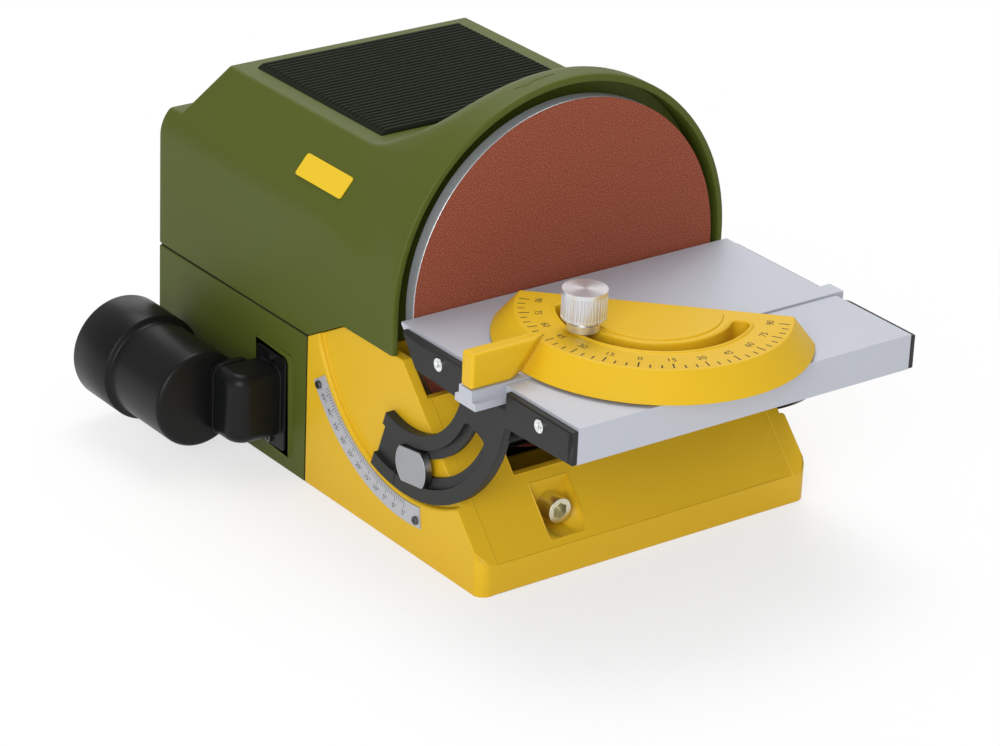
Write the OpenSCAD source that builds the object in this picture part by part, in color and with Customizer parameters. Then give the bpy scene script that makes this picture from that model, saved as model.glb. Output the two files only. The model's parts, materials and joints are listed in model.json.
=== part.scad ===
// Benchtop disc sander with a tilting table, a sliding mitre gauge and a side dust outlet.
// Millimetres. +X is to the operator's right, +Y is away from the operator and +Z is up.
// The origin lies on the bench, straight below the centre of the abrasive face.

/* [Disc] */
// Diameter of the abrasive disc
disc_d = 250; // [220:1:260]
// Thickness of the abrasive paper
paper_t = 1; // [0.6:0.1:2]
// Thickness of the disc plate
plate_t = 10; // [6:0.5:12]
// Height of the spindle axis above the bench
axis_h = 162; // [155:1:185]
// Diameter of the hub behind the disc plate
hub_d = 44; // [36:1:56]

/* [Housing] */
// Wall of the plastic housings
wall = 4; // [3:0.5:6]
// Gap between the disc and the guard ring
guard_gap = 9.5; // [7:0.5:12]
// Wall of the guard ring
guard_wall = 5.5; // [4:0.5:8]
// How far the guard's front edge lies behind the abrasive face
guard_set = 4; // [2:0.5:7]
// Depth of the guard's round band
guard_band = 26; // [22:1:34]
// Where the guard's flare meets the flat top
flare_y = 80; // [74:1:90]
// Height of the flat top above the spindle
top_up = 85; // [78:1:95]
// Half width of the flat top
top_hw = 102; // [92:1:110]
// Height of the side crease above the spindle
crease_up = 40; // [30:1:50]
// Rear end of the flat top
hump_y = 256; // [246:1:262]
// Where the slope behind the flat top meets the rear shelf
shelf_y = 274; // [268:1:280]
// Rear face of the housing
rear_y = 295; // [285:1:310]
// Height of the rear shelf above the spindle
shelf_up = 50; // [44:1:56]
// How far the seam between the housings lies below the spindle
seam_down = 52; // [47:1:60]
// How far the guard's skirt reaches below the spindle
skirt_down = 30; // [26:1:36]
// Rear end of the skirt's level edge
skirt_y = 62; // [56:1:70]
// Joint between the front base and the lower housing
joint_y = 102; // [98:1:112]
// Bulkhead behind the disc
bulkhead_y = 24; // [22:1:30]

/* [Front base] */
// Front face of the base
base_front = 103; // [100:1:110]
// Height of the upright band along the front
band_h = 22; // [18:1:28]
// Where the cheeks' slope starts, ahead of the abrasive face
slope_start = 3; // [1:0.5:6]
// Thickness of the cheeks
cheek_t = 12; // [10:0.5:16]
// Depth of the recess in each cheek
recess_d = 4; // [3:0.5:5]
// Wall of the sloped front
front_wall = 6; // [4:0.5:8]
// How far the sloped wall's top lies below the spindle
front_top_down = 52; // [48:1:58]
// Half width of the cut-out in the sloped wall
cutout_hw = 88; // [70:1:96]
// How far the cut-out's lower edge lies below the spindle
cutout_down = 100; // [97:1:106]
// Thickness of the bottom plate
bottom_t = 2; // [1.5:0.5:3]

/* [Table] */
// How far the table's ends lie inside the cheeks' outer faces
table_inset = 2.5; // [1.5:0.5:3]
// Depth of the table, front to back
table_d = 191; // [170:1:195]
// Gap between the table and the abrasive face
table_gap = 3; // [2.5:0.5:5]
// How far the table's top lies below the spindle
table_down = 2; // [0:0.5:4]
// Thickness of the table's plate
table_t = 14; // [13:0.5:16]
// Height of the table's front apron
apron_h = 25; // [22:0.5:28]
// Thickness of the table's front apron
apron_t = 6; // [4:0.5:8]
// Thickness of the end plates
end_t = 6; // [5:0.5:8]
// How far the end plates' top edge lies below the table's top
end_drop = 2; // [1:0.5:4]

/* [Tilt] */
// Tilt axis ahead of the abrasive face
pivot_y = 18; // [15:0.5:22]
// How far the tilt axis lies below the spindle
pivot_down = 9; // [7:0.5:11]
// Inner radius of the quadrants
quad_ri = 63; // [60:0.5:66]
// Outer radius of the quadrants
quad_ro = 110; // [107:0.5:112]
// Radius of the middle of the quadrants' slot
slot_r = 86; // [85:0.5:88]
// Diameter of the clamp rod
rod_d = 12; // [10:0.5:14]
// Angle of the clamp rod ahead of straight down
rod_angle = 8; // [6:0.5:10]
// Diameter of the clamp rod's head
head_d = 34; // [30:1:36]
// Width of the head across its flats
head_flat = 25; // [22:0.5:28]
// Depth of the track that guides the head
track_d = 3.5; // [2.5:0.5:4]
// Outer diameter of the clamp knob
clamp_knob_d = 46; // [36:1:56]

/* [Mitre gauge] */
// Groove ahead of the abrasive face
groove_y = 111; // [110:0.5:116]
// Length of the slider bar
bar_l = 300; // [292:1:320]
// Width of the slider bar's neck
neck_w = 14; // [12:0.5:16]
// Width of the slider bar's foot
foot_w = 22; // [20:0.5:26]
// Height of the slider bar's foot
foot_h = 5; // [4:0.5:6]
// How far the slider bar stands above the table
bar_up = 1.5; // [1:0.5:3]
// Gauge pivot, left of the centre line
gauge_x = 14; // [5:1:20]
// Radius of the gauge at the table
gauge_r = 106; // [100:0.5:107]
// Radius of the gauge's top face
gauge_top_r = 90; // [86:0.5:94]
// Height of the gauge above the table
gauge_h = 21; // [18:0.5:24]
// Distance of the fence behind the gauge pivot
fence_off = 14; // [10:0.5:18]
// Angle that the gauge is set to
gauge_angle = 45; // [0:1:60]
// Radius of the arc slot in the gauge
arc_r = 58; // [54:0.5:62]
// Width of the arc slot in the gauge
arc_w = 12; // [10:0.5:14]
// Width of the pointer block
pointer_w = 12; // [10:0.5:14]
// Height of the pointer block above the table
pointer_h = 26; // [24:0.5:28]
// Diameter of the lock knob
lock_knob_d = 30; // [26:1:34]

/* [Motor] */
// Diameter of the motor can
motor_d = 108; // [96:1:112]
// Length of the motor can
motor_l = 120; // [100:1:135]
// Diameter of the motor shaft
shaft_d = 16; // [12:0.5:20]

/* [Dust outlet] */
// Distance of the outlet's axis from the housing's side
outlet_off = 46; // [44:1:52]
// How far the outlet's axis lies below the spindle
outlet_down = 113; // [108:1:115]
// Front of the outlet
outlet_y = 163; // [160:1:170]
// Length of the outlet's front stretch
outlet_l = 62; // [50:1:70]
// Radius of the outlet's front stretch
outlet_r = 35; // [32:0.5:37]
// Radius of the outlet's collar
collar_r = 39; // [38:0.5:41]
// Length of the outlet's collar
collar_l = 45; // [35:1:60]
// Wall of the outlet
outlet_wall = 3; // [2:0.5:4]

/* [Hidden] */
$fn = 96;
smooth = 48;
eps = 0.01;
far = 400;

// Clearances
run_clear = 0.05;
slide_clear = 0.4;
seat_clear = 0.2;
swing_clear = 3;
over = 1;

// Disc and guard
disc_r = disc_d / 2;
guard_ri = disc_r + guard_gap;
guard_ro = guard_ri + guard_wall;
body_hw = guard_ro;
bulkhead_t = wall;
band_end = guard_set + guard_band;
hub_r = hub_d / 2;
hub_room = 4;
hub_hole_r = hub_r + hub_room;
hub_back = bulkhead_y - hub_room;
hub_screw_r = 2.5;
hub_screw_pcr = (hub_r + shaft_d / 2) / 2;
plate_back = paper_t + plate_t;
hub_screw_in = plate_t / 2;
seam_z = axis_h - seam_down;
skirt_z = axis_h - skirt_down;

// Front base
slope_foot = [-base_front, band_h];
slope_head = [-slope_start, skirt_z];
slope_run = (slope_head[0] - slope_foot[0]) / (slope_head[1] - slope_foot[1]);
function slope_y(z) = slope_foot[0] + (z - slope_foot[1]) * slope_run;
front_top_z = axis_h - front_top_down;
cutout_z = axis_h - cutout_down;
cheek_in = body_hw - cheek_t;
floor_x = body_hw - recess_d;
recess_r = quad_ro + swing_clear;
boss_r = 6;
boss_h = 30;
bottom_screw_r = 2;
bottom_screw_l = 11;
way_w = 120;
way_z = 20;
way_h = 60;
recess_rear = 14;

// Hold-down screw and its pocket in the sloped front
pocket_l = -80;
pocket_w = 32;
pocket_z = 23;
pocket_back = 72;
screw_x = pocket_l + pocket_w / 2;
screw_r = 9;
screw_h = 15;
screw_shank_r = 6;
screw_socket = 10;
socket_h = 8;
screw_tail = 8;
screw_z = 38;

// Table
table_hw = body_hw - table_inset;
table_z = axis_h - table_down;
table_rear = -table_gap;
table_front = table_rear - table_d;
end_out = table_hw + end_t;
table_edge = 2;
end_screw_r = 2;
end_screw_l = 12;
end_head_r = 4.5;
end_head_h = 1.6;
end_screw_up = 5;
end_screw_z = table_z - table_t + end_screw_up;
end_screw_back = 52;
end_screw_front = 31;
end_screw_ys = [table_rear - end_screw_back, table_front + end_screw_front];
end_back_top = 7;
end_back_low = 24;
groove_floor = 3;
neck_h = table_t - groove_floor - foot_h;
foot_top = table_z - neck_h;

// Tilt
pivot_z = axis_h - pivot_down;
quad_in = floor_x + slide_clear;
rod_r = rod_d / 2;
rod_y = -pivot_y - slot_r * sin(rod_angle);
rod_z = pivot_z - slot_r * cos(rod_angle);
slot_hw = rod_r + slide_clear;
head_chord = sqrt(pow(head_d / 2, 2) - pow(head_flat / 2, 2));
track_ri = slot_r - head_flat / 2 - slide_clear;
track_ro = sqrt(pow(slot_r + head_flat / 2, 2) + pow(head_chord, 2)) + slide_clear;
slot_front_angle = 69;
slot_rear_angle = -4;
track_front_angle = 67;
inner_front_angle = 74;
tip_angle = -20;
scale_ri = recess_r + 3;
scale_w = 15;
scale_t = 1;
scale_rear_angle = -57;
scale_front_angle = 8;
scale_screw_r = 1.6;
scale_head_r = 3;
scale_head_h = 1.8;
thread_r = rod_r - 2;
thread_l = 20;
neck_front_angle = 86;
track_floor = end_out - track_d;
head_in = track_floor + slide_clear;
head_t = 6;

// Mitre gauge
groove_c = -groove_y;
pivot_stud_r = 5;
pivot_stud_h = 12;
lock_stud_r = 4;
stud_in = 1;
lock_stud_up = 14;
bar_left = -gauge_x - bar_l / 2;
lock_x = -gauge_x - arc_r;
bar_top = table_z + bar_up;
gauge_z = bar_top + slide_clear;
gauge_top = table_z + gauge_h;
arc_half_angle = 86;
cone_run = (gauge_r - gauge_top_r) / (gauge_top - gauge_z);
function cone_x(z) = -gauge_x - gauge_r + (z - gauge_z) * cone_run;
pointer_gap = 1;

// Motor
bell_t = 10;
motor_screw_pcr = 46;
motor_screw_r = 2.2;
motor_head_r = 4;
motor_head_h = 3;
motor_screw_end = 2;
bell_y = bulkhead_y + bulkhead_t;
can_y = bell_y + bell_t;
can_end = can_y + motor_l;
shaft_r = shaft_d / 2;
bearing_r = shaft_r + 9;
bearing_w = 8;
can_wall = 5;
motor_gap = 2;
rotor_r = motor_d / 2 - can_wall - 12;
rotor_gap = 22;
fan_r = motor_d / 2 - can_wall - 4;
fan_w = 9;
fan_blades = 10;
shaft_end = can_end + bell_t + 4;

// Dust outlet
flange_y = 124;
flange_w = 36;
flange_h = 70;
flange_t = 3;
rim_t = 1.5;
rim_w = 4;
elbow_screw_r = 1.7;
elbow_head_r = 3.4;
elbow_head_h = 2;
duct_in = 6;
duct_w = 26;
duct_h = 52;
duct_wall = 3;
outlet_x = -body_hw - outlet_off;
outlet_z = axis_h - outlet_down;
outlet_end = outlet_y + outlet_l + collar_l;
flange_c = flange_y + flange_w / 2;

// Switch and cord entry
switch_y = 190;
switch_down = 42;
switch_z = seam_z - switch_down;
switch_w = 24;
switch_h = 34;
bezel_t = 3;
bezel_wall = 3;
rocker_in = 1;
rocker_pin_r = 1.5;
pin_in = 1;
gland_x = 70;
gland_z = 46;
gland_r = 9;

// A flat outline in Y and Z, drawn out along X
module yz(x0, x1) {
    translate([x0, 0, 0])
        rotate([90, 0, 90])
            linear_extrude(x1 - x0)
                children();
}

// A flat outline in X and Z, drawn out along Y
module xz(y0, y1) {
    translate([0, y1, 0])
        rotate([90, 0, 0])
            linear_extrude(y1 - y0)
                children();
}

// A round bar along Y about the spindle axis
module spindle(r, y0, y1) {
    translate([0, y0, axis_h])
        rotate([-90, 0, 0])
            cylinder(r = r, h = y1 - y0);
}

// A round bar along X
module xbar(r, x0, x1, y, z) {
    translate([x0, y, z])
        rotate([0, 90, 0])
            cylinder(r = r, h = x1 - x0);
}

// A round bar along Y
module ybar(r, y0, y1, x, z) {
    translate([x, y0, z])
        rotate([-90, 0, 0])
            cylinder(r = r, h = y1 - y0);
}

// A sector of a ring about the tilt axis: angles run from straight down towards the front
module tilt_sector(ri, ro, rear, front) {
    steps = 24;
    angles = [for (i = [0:steps]) rear + (front - rear) * i / steps];
    reach = 2 * ro;
    wedge = [[0, 0], for (a = angles) [-reach * sin(a), -reach * cos(a)]];
    translate([-pivot_y, pivot_z])
        intersection() {
            difference() {
                circle(r = ro);
                circle(r = ri);
            }
            polygon(wedge);
        }
}

// Cross-section of the housing behind the flare
module hump_outline(inset) {
    hw = body_hw - inset;
    polygon([
        [-hw, seam_z], [hw, seam_z], [hw, axis_h + crease_up - inset / 2],
        [top_hw - inset / 2, axis_h + top_up - inset], [-top_hw + inset / 2, axis_h + top_up - inset],
        [-hw, axis_h + crease_up - inset / 2]]);
}

// Cross-section of the guard: a round top on upright sides
module guard_outline(r) {
    translate([0, axis_h])
        circle(r = r, $fn = smooth * 2);
    translate([-r, seam_z])
        square([2 * r, axis_h - seam_z]);
}

// The side view of the region that belongs to the front base
module base_region() {
    polygon([
        [-far, -far], [joint_y, -far], [joint_y, seam_z], [skirt_y, skirt_z], [-far, skirt_z]]);
}

// Olive upper housing: guard ring, flare, flat-topped hood and rear shelf in one moulding
module upper_housing() {
    color("#5f6c31")
        difference() {
            union() {
                xz(guard_set, band_end) guard_outline(guard_ro);
                hull() {
                    xz(band_end - 1, band_end) guard_outline(guard_ro);
                    xz(flare_y - 1, flare_y) hump_outline(0);
                }
                hood(0);
            }
            // Disc chamber, shaft passage and room for the motor
            xz(-far, bulkhead_y) guard_outline(guard_ri);
            spindle(hub_hole_r, -far, far / 2);
            hull() {
                xz(bell_y, bell_y + 1) guard_outline(guard_ri);
                xz(flare_y - 1, flare_y) hump_outline(wall);
            }
            hood(wall);
            yz(-far, far) base_region();
            translate([-far, -far, -far])
                cube([2 * far, 2 * far, far + seam_z]);
            rear_vents();
            motor_screw_places(motor_screw_r, bulkhead_y - over, bell_y + over);
        }
}

// The flat-topped hood with its sloped rear and the low shelf behind
module hood(inset) {
    y0 = flare_y - 1;
    y1 = rear_y - inset;
    low = axis_h + shelf_up - inset;
    high = axis_h + top_up - inset;
    intersection() {
        xz(y0, y1) hump_outline(inset);
        yz(-far, far)
            polygon([
                [y0, 0], [y1, 0], [y1, low], [shelf_y - inset / 2, low],
                [hump_y - inset / 2, high], [y0, high]]);
    }
}

// Cooling slots through the rear wall
module rear_vents() {
    down = 30;
    z0 = axis_h - down;
    count = 4;
    slot_l = 90;
    slot_h = 5;
    pitch = 12;
    for (i = [0:count - 1])
        translate([-slot_l / 2, rear_y - wall - over, z0 + i * pitch])
            cube([slot_l, wall + 2 * over, slot_h]);
}

// Places of the four screws that hold the motor on the bulkhead
module motor_screw_places(r, y0, y1) {
    for (a = [45:90:315])
        ybar(r, y0, y1, motor_screw_pcr * cos(a), axis_h + motor_screw_pcr * sin(a));
}

// Room round the motor in the walls below it
module motor_room() {
    spindle(motor_d / 2 + motor_gap, bell_y, can_end + bell_t);
}

// Olive lower housing behind the front base
module lower_housing() {
    color("#56632d")
        difference() {
            union() {
                difference() {
                    translate([-body_hw, joint_y, 0])
                        cube([2 * body_hw, rear_y - joint_y, seam_z]);
                    translate([-body_hw + wall, joint_y + wall, -over])
                        cube([2 * (body_hw - wall), rear_y - joint_y - 2 * wall, seam_z + 2 * over]);
                }
                for (x = [-1, 1], y = [joint_y + wall + boss_r, rear_y - wall - boss_r])
                    translate([x * (body_hw - wall - boss_r + eps), y, bottom_t])
                        cylinder(r = boss_r, h = boss_h);
                // Raised frame round the dust elbow's flange
                translate([-body_hw - rim_t, flange_y - rim_w, outlet_z - flange_h / 2 - rim_w])
                    cube([rim_t + eps, flange_w + 2 * rim_w, flange_h + 2 * rim_w]);
            }
            bottom_screw_places(-over, bottom_screw_l);
            // Way through to the dust elbow, with a seat for its flange
            translate([-body_hw - 2 * rim_t, flange_y - seat_clear, outlet_z - flange_h / 2 - seat_clear])
                cube([2 * rim_t, flange_w + 2 * seat_clear, flange_h + 2 * seat_clear]);
            translate([-body_hw - over, flange_c - duct_w / 2 + duct_wall, outlet_z - duct_h / 2 + duct_wall])
                cube([wall + 2 * over, duct_w - 2 * duct_wall, duct_h - 2 * duct_wall]);
            elbow_screw_places(elbow_screw_r, -body_hw - over, -body_hw + wall + over);
            // Passage from the disc chamber
            translate([-way_w / 2, joint_y - over, way_z])
                cube([way_w, wall + 2 * over, way_h]);
            switch_cut();
            motor_room();
            ybar(gland_r, rear_y - wall - over, rear_y + over, gland_x, gland_z);
        }
}

// The opening that the switch sits in
module switch_cut() {
    translate([body_hw - wall - over, switch_y - switch_w / 2, switch_z - switch_h / 2])
        cube([wall + 2 * over, switch_w, switch_h]);
}

// The front base's side view
module base_outline() {
    polygon([
        [-base_front, 0], slope_foot, slope_head, [skirt_y, skirt_z], [joint_y, seam_z], [joint_y, 0]]);
}

// The hollow of the front base between its cheeks
module base_hollow() {
    lift = skirt_z + over;
    open_y = slope_y(front_top_z);
    polygon([
        [-base_front + front_wall, -over], [-base_front + front_wall, band_h],
        [open_y + front_wall, front_top_z], [open_y - cheek_t, front_top_z], [open_y - cheek_t, lift],
        [joint_y - wall, lift], [joint_y - wall, -over]]);
}

// Yellow front base: two cheeks, the sloped front and the wall behind the disc
module front_base() {
    color("#dfb022")
        difference() {
            union() {
                difference() {
                    yz(-body_hw, body_hw) base_outline();
                    yz(-cheek_in, cheek_in) base_hollow();
                }
                xz(bulkhead_y, bell_y)
                    translate([-cheek_in - eps, bottom_t])
                        square([2 * (cheek_in + eps), skirt_z - bottom_t]);
                for (x = [-1, 1])
                    translate([x * (cheek_in - boss_r + eps), -base_front + front_wall + boss_r, bottom_t])
                        cylinder(r = boss_r, h = boss_h / 2);
                screw_pocket_walls();
            }
            // Recess in each cheek for the quadrants to swing in
            for (s = [-1, 1])
                yz(s > 0 ? floor_x : -body_hw - over, s > 0 ? body_hw + over : -floor_x)
                    intersection() {
                        translate([-pivot_y, pivot_z])
                            circle(r = recess_r);
                        translate([-far, -far])
                            square([far + joint_y - recess_rear, 2 * far]);
                    }
            // Cut-out in the sloped wall, ahead of the clamp rod
            translate([-cutout_hw, slope_y(cutout_z) - over, cutout_z])
                cube([2 * cutout_hw, bulkhead_y - slope_y(cutout_z), front_top_z]);
            spindle(hub_hole_r, -far, far / 4);
            motor_room();
            motor_screw_places(motor_screw_r, bulkhead_y - over, bell_y + over);
            xbar(rod_r + seat_clear / 2, -far, far, rod_y, rod_z);
            bottom_screw_places(-over, bottom_screw_l);
            // Pocket for the hold-down screw
            translate([pocket_l, -base_front - over, pocket_z])
                cube([pocket_w, base_front + over - pocket_back, axis_h]);
            ybar(screw_shank_r, -pocket_back - over, -pocket_back + front_wall + over, screw_x, screw_z);
            // Dust way to the lower housing
            translate([-way_w / 2, bulkhead_y - over, way_z])
                cube([way_w, joint_y - bulkhead_y + 2 * over, way_h]);
        }
}

// Walls that close the pocket inside the base
module screw_pocket_walls() {
    intersection() {
        translate([pocket_l - wall, -base_front, pocket_z - wall])
            cube([pocket_w + 2 * wall, base_front - pocket_back + front_wall, cutout_z - pocket_z + wall]);
        yz(-far, far) base_outline();
    }
}

// Steel plate that closes the underside
module bottom_plate() {
    gap = seat_clear;
    front_l = base_front + joint_y - front_wall - wall - 2 * gap;
    color("#8d9094")
        difference() {
            union() {
                translate([-cheek_in + gap, -base_front + front_wall + gap, 0])
                    cube([2 * (cheek_in - gap), front_l, bottom_t]);
                translate([-body_hw + wall + gap, joint_y + wall + gap, 0])
                    cube([2 * (body_hw - wall - gap), rear_y - joint_y - 2 * wall - 2 * gap, bottom_t]);
            }
            bottom_screw_places(-over, boss_h);
        }
}

// Places of the screws that hold the bottom plate
module bottom_screw_places(z0, z1) {
    for (x = [-1, 1]) {
        for (y = [joint_y + wall + boss_r, rear_y - wall - boss_r])
            translate([x * (body_hw - wall - boss_r), y, z0])
                cylinder(r = bottom_screw_r, h = z1 - z0);
        translate([x * (cheek_in - boss_r), -base_front + front_wall + boss_r, z0])
            cylinder(r = bottom_screw_r, h = z1 - z0);
    }
}

// Screws that hold the bottom plate
module bottom_screws() {
    color("#5a5c5f")
        bottom_screw_places(seat_clear, bottom_screw_l);
}

// Black ribbed mat on the flat top
module top_mat() {
    side_gap = 14;
    front_gap = 11;
    rear_gap = 5;
    mat_hw = top_hw - side_gap;
    mat_y0 = flare_y + front_gap;
    mat_y1 = hump_y - rear_gap;
    base_t = 2;
    rib_h = 2.5;
    ribs = 32;
    pitch = (mat_y1 - mat_y0) / ribs;
    z0 = axis_h + top_up;
    color("#1d211c")
        yz(-mat_hw, mat_hw)
            polygon(concat(
                [[mat_y1, z0], [mat_y0, z0]],
                [for (i = [0:ribs - 1], p = [[0, 0], [0.25, 1], [0.7, 1], [0.95, 0]])
                    [mat_y0 + (i + p[0]) * pitch, z0 + base_t + rib_h * p[1]]],
                [[mat_y1, z0 + base_t]]));
}

// Plain yellow plate on the hood's left shoulder
module name_plate() {
    run = body_hw - top_hw;
    rise = top_up - crease_up;
    lean = atan2(rise, run);
    plate_l = 54;
    plate_w = 17;
    plate_thick = 1;
    front_gap = 2;
    share = 0.42;
    color("#e3c22a")
        translate([-body_hw + run * share, flare_y + front_gap, axis_h + crease_up + rise * share])
            rotate([0, -lean, 0])
                translate([-plate_w / 2, 0, 0])
                    cube([plate_w, plate_l, plate_thick]);
}

// Motor can round the rotor
module stator_can() {
    r = motor_d / 2;
    color("#6f7276")
        difference() {
            spindle(r, can_y, can_end);
            spindle(r - can_wall, can_y - over, can_end + over);
        }
}

// Front motor bell: bolts to the bulkhead and holds the front bearing
module motor_front_bell() {
    color("#a9acb0")
        difference() {
            spindle(motor_d / 2, bell_y, can_y);
            spindle(bearing_r, bell_y - over, can_y + over);
            motor_screw_places(motor_screw_r, bell_y - over, can_y - motor_screw_end);
        }
}

// Rear motor bell with the rear bearing's seat and air holes
module motor_rear_bell() {
    hole_r = 8;
    hole_pcr = 34;
    y0 = can_end - over;
    y1 = can_end + bell_t + over;
    color("#a9acb0")
        difference() {
            spindle(motor_d / 2, can_end, can_end + bell_t);
            spindle(bearing_r, y0, y1);
            for (a = [0:60:300])
                ybar(hole_r, y0, y1, hole_pcr * cos(a), axis_h + hole_pcr * sin(a));
        }
}

// Screws that hold the motor on the bulkhead
module motor_screws() {
    color("#5a5c5f") {
        motor_screw_places(motor_screw_r, bulkhead_y, can_y - motor_screw_end);
        motor_screw_places(motor_head_r, bulkhead_y - motor_head_h, bulkhead_y);
    }
}

// A ball bearing drawn as one ring
module bearing(y0) {
    color("#c3c6ca")
        difference() {
            spindle(bearing_r, y0, y0 + bearing_w);
            spindle(shaft_r + run_clear, y0 - over, y0 + bearing_w + over);
        }
}

module front_bearing() {
    bearing(bell_y + (bell_t - bearing_w) / 2);
}

module rear_bearing() {
    bearing(can_end + (bell_t - bearing_w) / 2);
}

// Motor shaft from the rear bearing to the disc hub
module motor_shaft() {
    color("#b9bcc0")
        spindle(shaft_r, plate_back, shaft_end);
}

// Laminated rotor core
module rotor_core() {
    color("#7b5b3a")
        difference() {
            spindle(rotor_r, can_y + rotor_gap, can_end - rotor_gap);
            spindle(shaft_r, can_y, can_end);
        }
}

// Cooling fan behind the rotor
module cooling_fan() {
    y0 = can_end - rotor_gap + 4;
    hub_t = 6;
    root = shaft_r + 4;
    blade_t = 2;
    blade_in = 0.5;
    color("#30343a")
        difference() {
            union() {
                spindle(shaft_r + hub_t, y0, y0 + fan_w);
                for (i = [0:fan_blades - 1])
                    translate([0, y0, axis_h])
                        rotate([0, i * 360 / fan_blades, 0])
                            translate([-blade_t / 2, blade_in, root])
                                cube([blade_t, fan_w - 2 * blade_in, fan_r - root]);
            }
            spindle(shaft_r, y0 - over, y0 + fan_w + over);
        }
}

// Hub that joins the shaft and the disc plate
module disc_hub() {
    color("#9fa3a8")
        difference() {
            spindle(hub_r, plate_back, hub_back);
            spindle(shaft_r, plate_back - over, bulkhead_y);
            hub_screw_places(plate_back - over, bulkhead_y);
        }
}

// Places of the screws that hold the disc plate on its hub
module hub_screw_places(y0, y1) {
    for (a = [0:120:240])
        ybar(hub_screw_r, y0, y1, hub_screw_pcr * cos(a), axis_h + hub_screw_pcr * sin(a));
}

// Aluminium disc plate
module disc_plate() {
    color("#c9ccd0")
        difference() {
            spindle(disc_r, paper_t, plate_back);
            hub_screw_places(plate_back - hub_screw_in, plate_back + over);
        }
}

// Screws through the hub into the disc plate
module hub_screws() {
    color("#5a5c5f")
        hub_screw_places(plate_back - hub_screw_in, hub_back);
}

// Abrasive paper disc
module sanding_disc() {
    color("#8c4030")
        spindle(disc_r, 0, paper_t);
}

// Black elbow from the lower housing's side to the dust outlet
module dust_elbow() {
    bend = 14;
    x_out = outlet_x + duct_in;
    y0 = flange_c - duct_w / 2;
    x_in = x_out + duct_w;
    sweep = [for (i = [0:8]) 90 * i / 8];
    outer = concat(
        [[-body_hw, y0]],
        [for (a = sweep) [x_out + bend - bend * sin(a), y0 + bend - bend * cos(a)]],
        [[x_out, outlet_y], [x_in, outlet_y], [x_in, y0 + duct_w], [-body_hw, y0 + duct_w]]);
    w = duct_wall;
    inner = concat(
        [[-body_hw + over, y0 + w]],
        [for (a = sweep) [x_out + bend - (bend - w) * sin(a), y0 + bend - (bend - w) * cos(a)]],
        [[x_out + w, outlet_y + over], [x_in - w, outlet_y + over], [x_in - w, y0 + duct_w - w],
         [-body_hw + over, y0 + duct_w - w]]);
    color("#1b1d1c")
        difference() {
            union() {
                translate([-body_hw - flange_t, flange_y, outlet_z - flange_h / 2])
                    cube([flange_t, flange_w, flange_h]);
                translate([0, 0, outlet_z - duct_h / 2])
                    linear_extrude(duct_h) polygon(outer);
            }
            translate([0, 0, outlet_z - duct_h / 2 + w])
                linear_extrude(duct_h - 2 * w) polygon(inner);
            elbow_screw_places(elbow_screw_r, -body_hw - far, -body_hw + over);
        }
}

// Places of the two screws that hold the elbow's flange
module elbow_screw_places(r, x0, x1) {
    for (s = [-1, 1])
        xbar(r, x0, x1, flange_c, outlet_z + s * (duct_h / 2 + flange_h / 2) / 2);
}

// Screws that hold the elbow's flange
module elbow_screws() {
    head_x = -body_hw - flange_t - elbow_head_h;
    cross = [2, 1, 4.5];
    color("#3c3e40")
        difference() {
            union() {
                elbow_screw_places(elbow_screw_r, -body_hw - flange_t, -body_hw + wall);
                elbow_screw_places(elbow_head_r, head_x, -body_hw - flange_t);
            }
            for (s = [-1, 1], turn = [0, 90])
                translate([head_x, flange_c, outlet_z + s * (duct_h / 2 + flange_h / 2) / 2])
                    rotate([turn, 0, 0])
                        cube(cross, center = true);
        }
}

// A round stretch of the dust outlet, from one radius and distance to the next
module outlet_stretch(r0, d0, r1, d1) {
    translate([outlet_x, outlet_y + d0, outlet_z])
        rotate([-90, 0, 0])
            cylinder(r1 = r0, r2 = r1, h = d1 - d0);
}

// Black hose outlet, a capped tube with a wider collar that is open at the rear
module dust_outlet() {
    nose = [6, 2];
    nose_d = [2, 6];
    bevel = 3;
    cap = outlet_wall + bevel;
    total = outlet_l + collar_l;
    ri = outlet_r - outlet_wall;
    ci = collar_r - outlet_wall;
    color("#1b1d1c")
        difference() {
            union() {
                outlet_stretch(outlet_r - nose[0], 0, outlet_r - nose[1], nose_d[0]);
                outlet_stretch(outlet_r - nose[1], nose_d[0], outlet_r, nose_d[1]);
                outlet_stretch(outlet_r, nose_d[1], outlet_r, outlet_l);
                outlet_stretch(outlet_r, outlet_l, collar_r, outlet_l + bevel);
                outlet_stretch(collar_r, outlet_l + bevel, collar_r, total);
            }
            outlet_stretch(ri, cap, ri, outlet_l + over);
            outlet_stretch(ci, outlet_l, ci, total + over);
            translate([outlet_x + duct_in + duct_wall, outlet_y - over, outlet_z - duct_h / 2 + duct_wall])
                cube([duct_w - 3 * duct_wall, cap + 2 * over, duct_h - 2 * duct_wall]);
        }
}

// Silver tilt scale on the left cheek
module scale_strip() {
    color("#c4c7cb")
        difference() {
            yz(-body_hw - scale_t, -body_hw)
                tilt_sector(scale_ri, scale_ri + scale_w, scale_rear_angle, scale_front_angle);
            scale_screw_places(scale_screw_r, -body_hw - scale_t - over, -body_hw + over);
        }
}

// Places of the two screws that hold the scale
module scale_screw_places(r, x0, x1) {
    at = scale_ri + scale_w * 2 / 3;
    for (a = [scale_rear_angle + 2, scale_front_angle - 2])
        xbar(r, x0, x1, -pivot_y - at * sin(a), pivot_z - at * cos(a));
}

// Screws that hold the scale
module scale_screws() {
    color("#26282a") {
        scale_screw_places(scale_screw_r, -body_hw - scale_t, -body_hw);
        scale_screw_places(scale_head_r, -body_hw - scale_t - scale_head_h, -body_hw - scale_t);
    }
}

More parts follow.
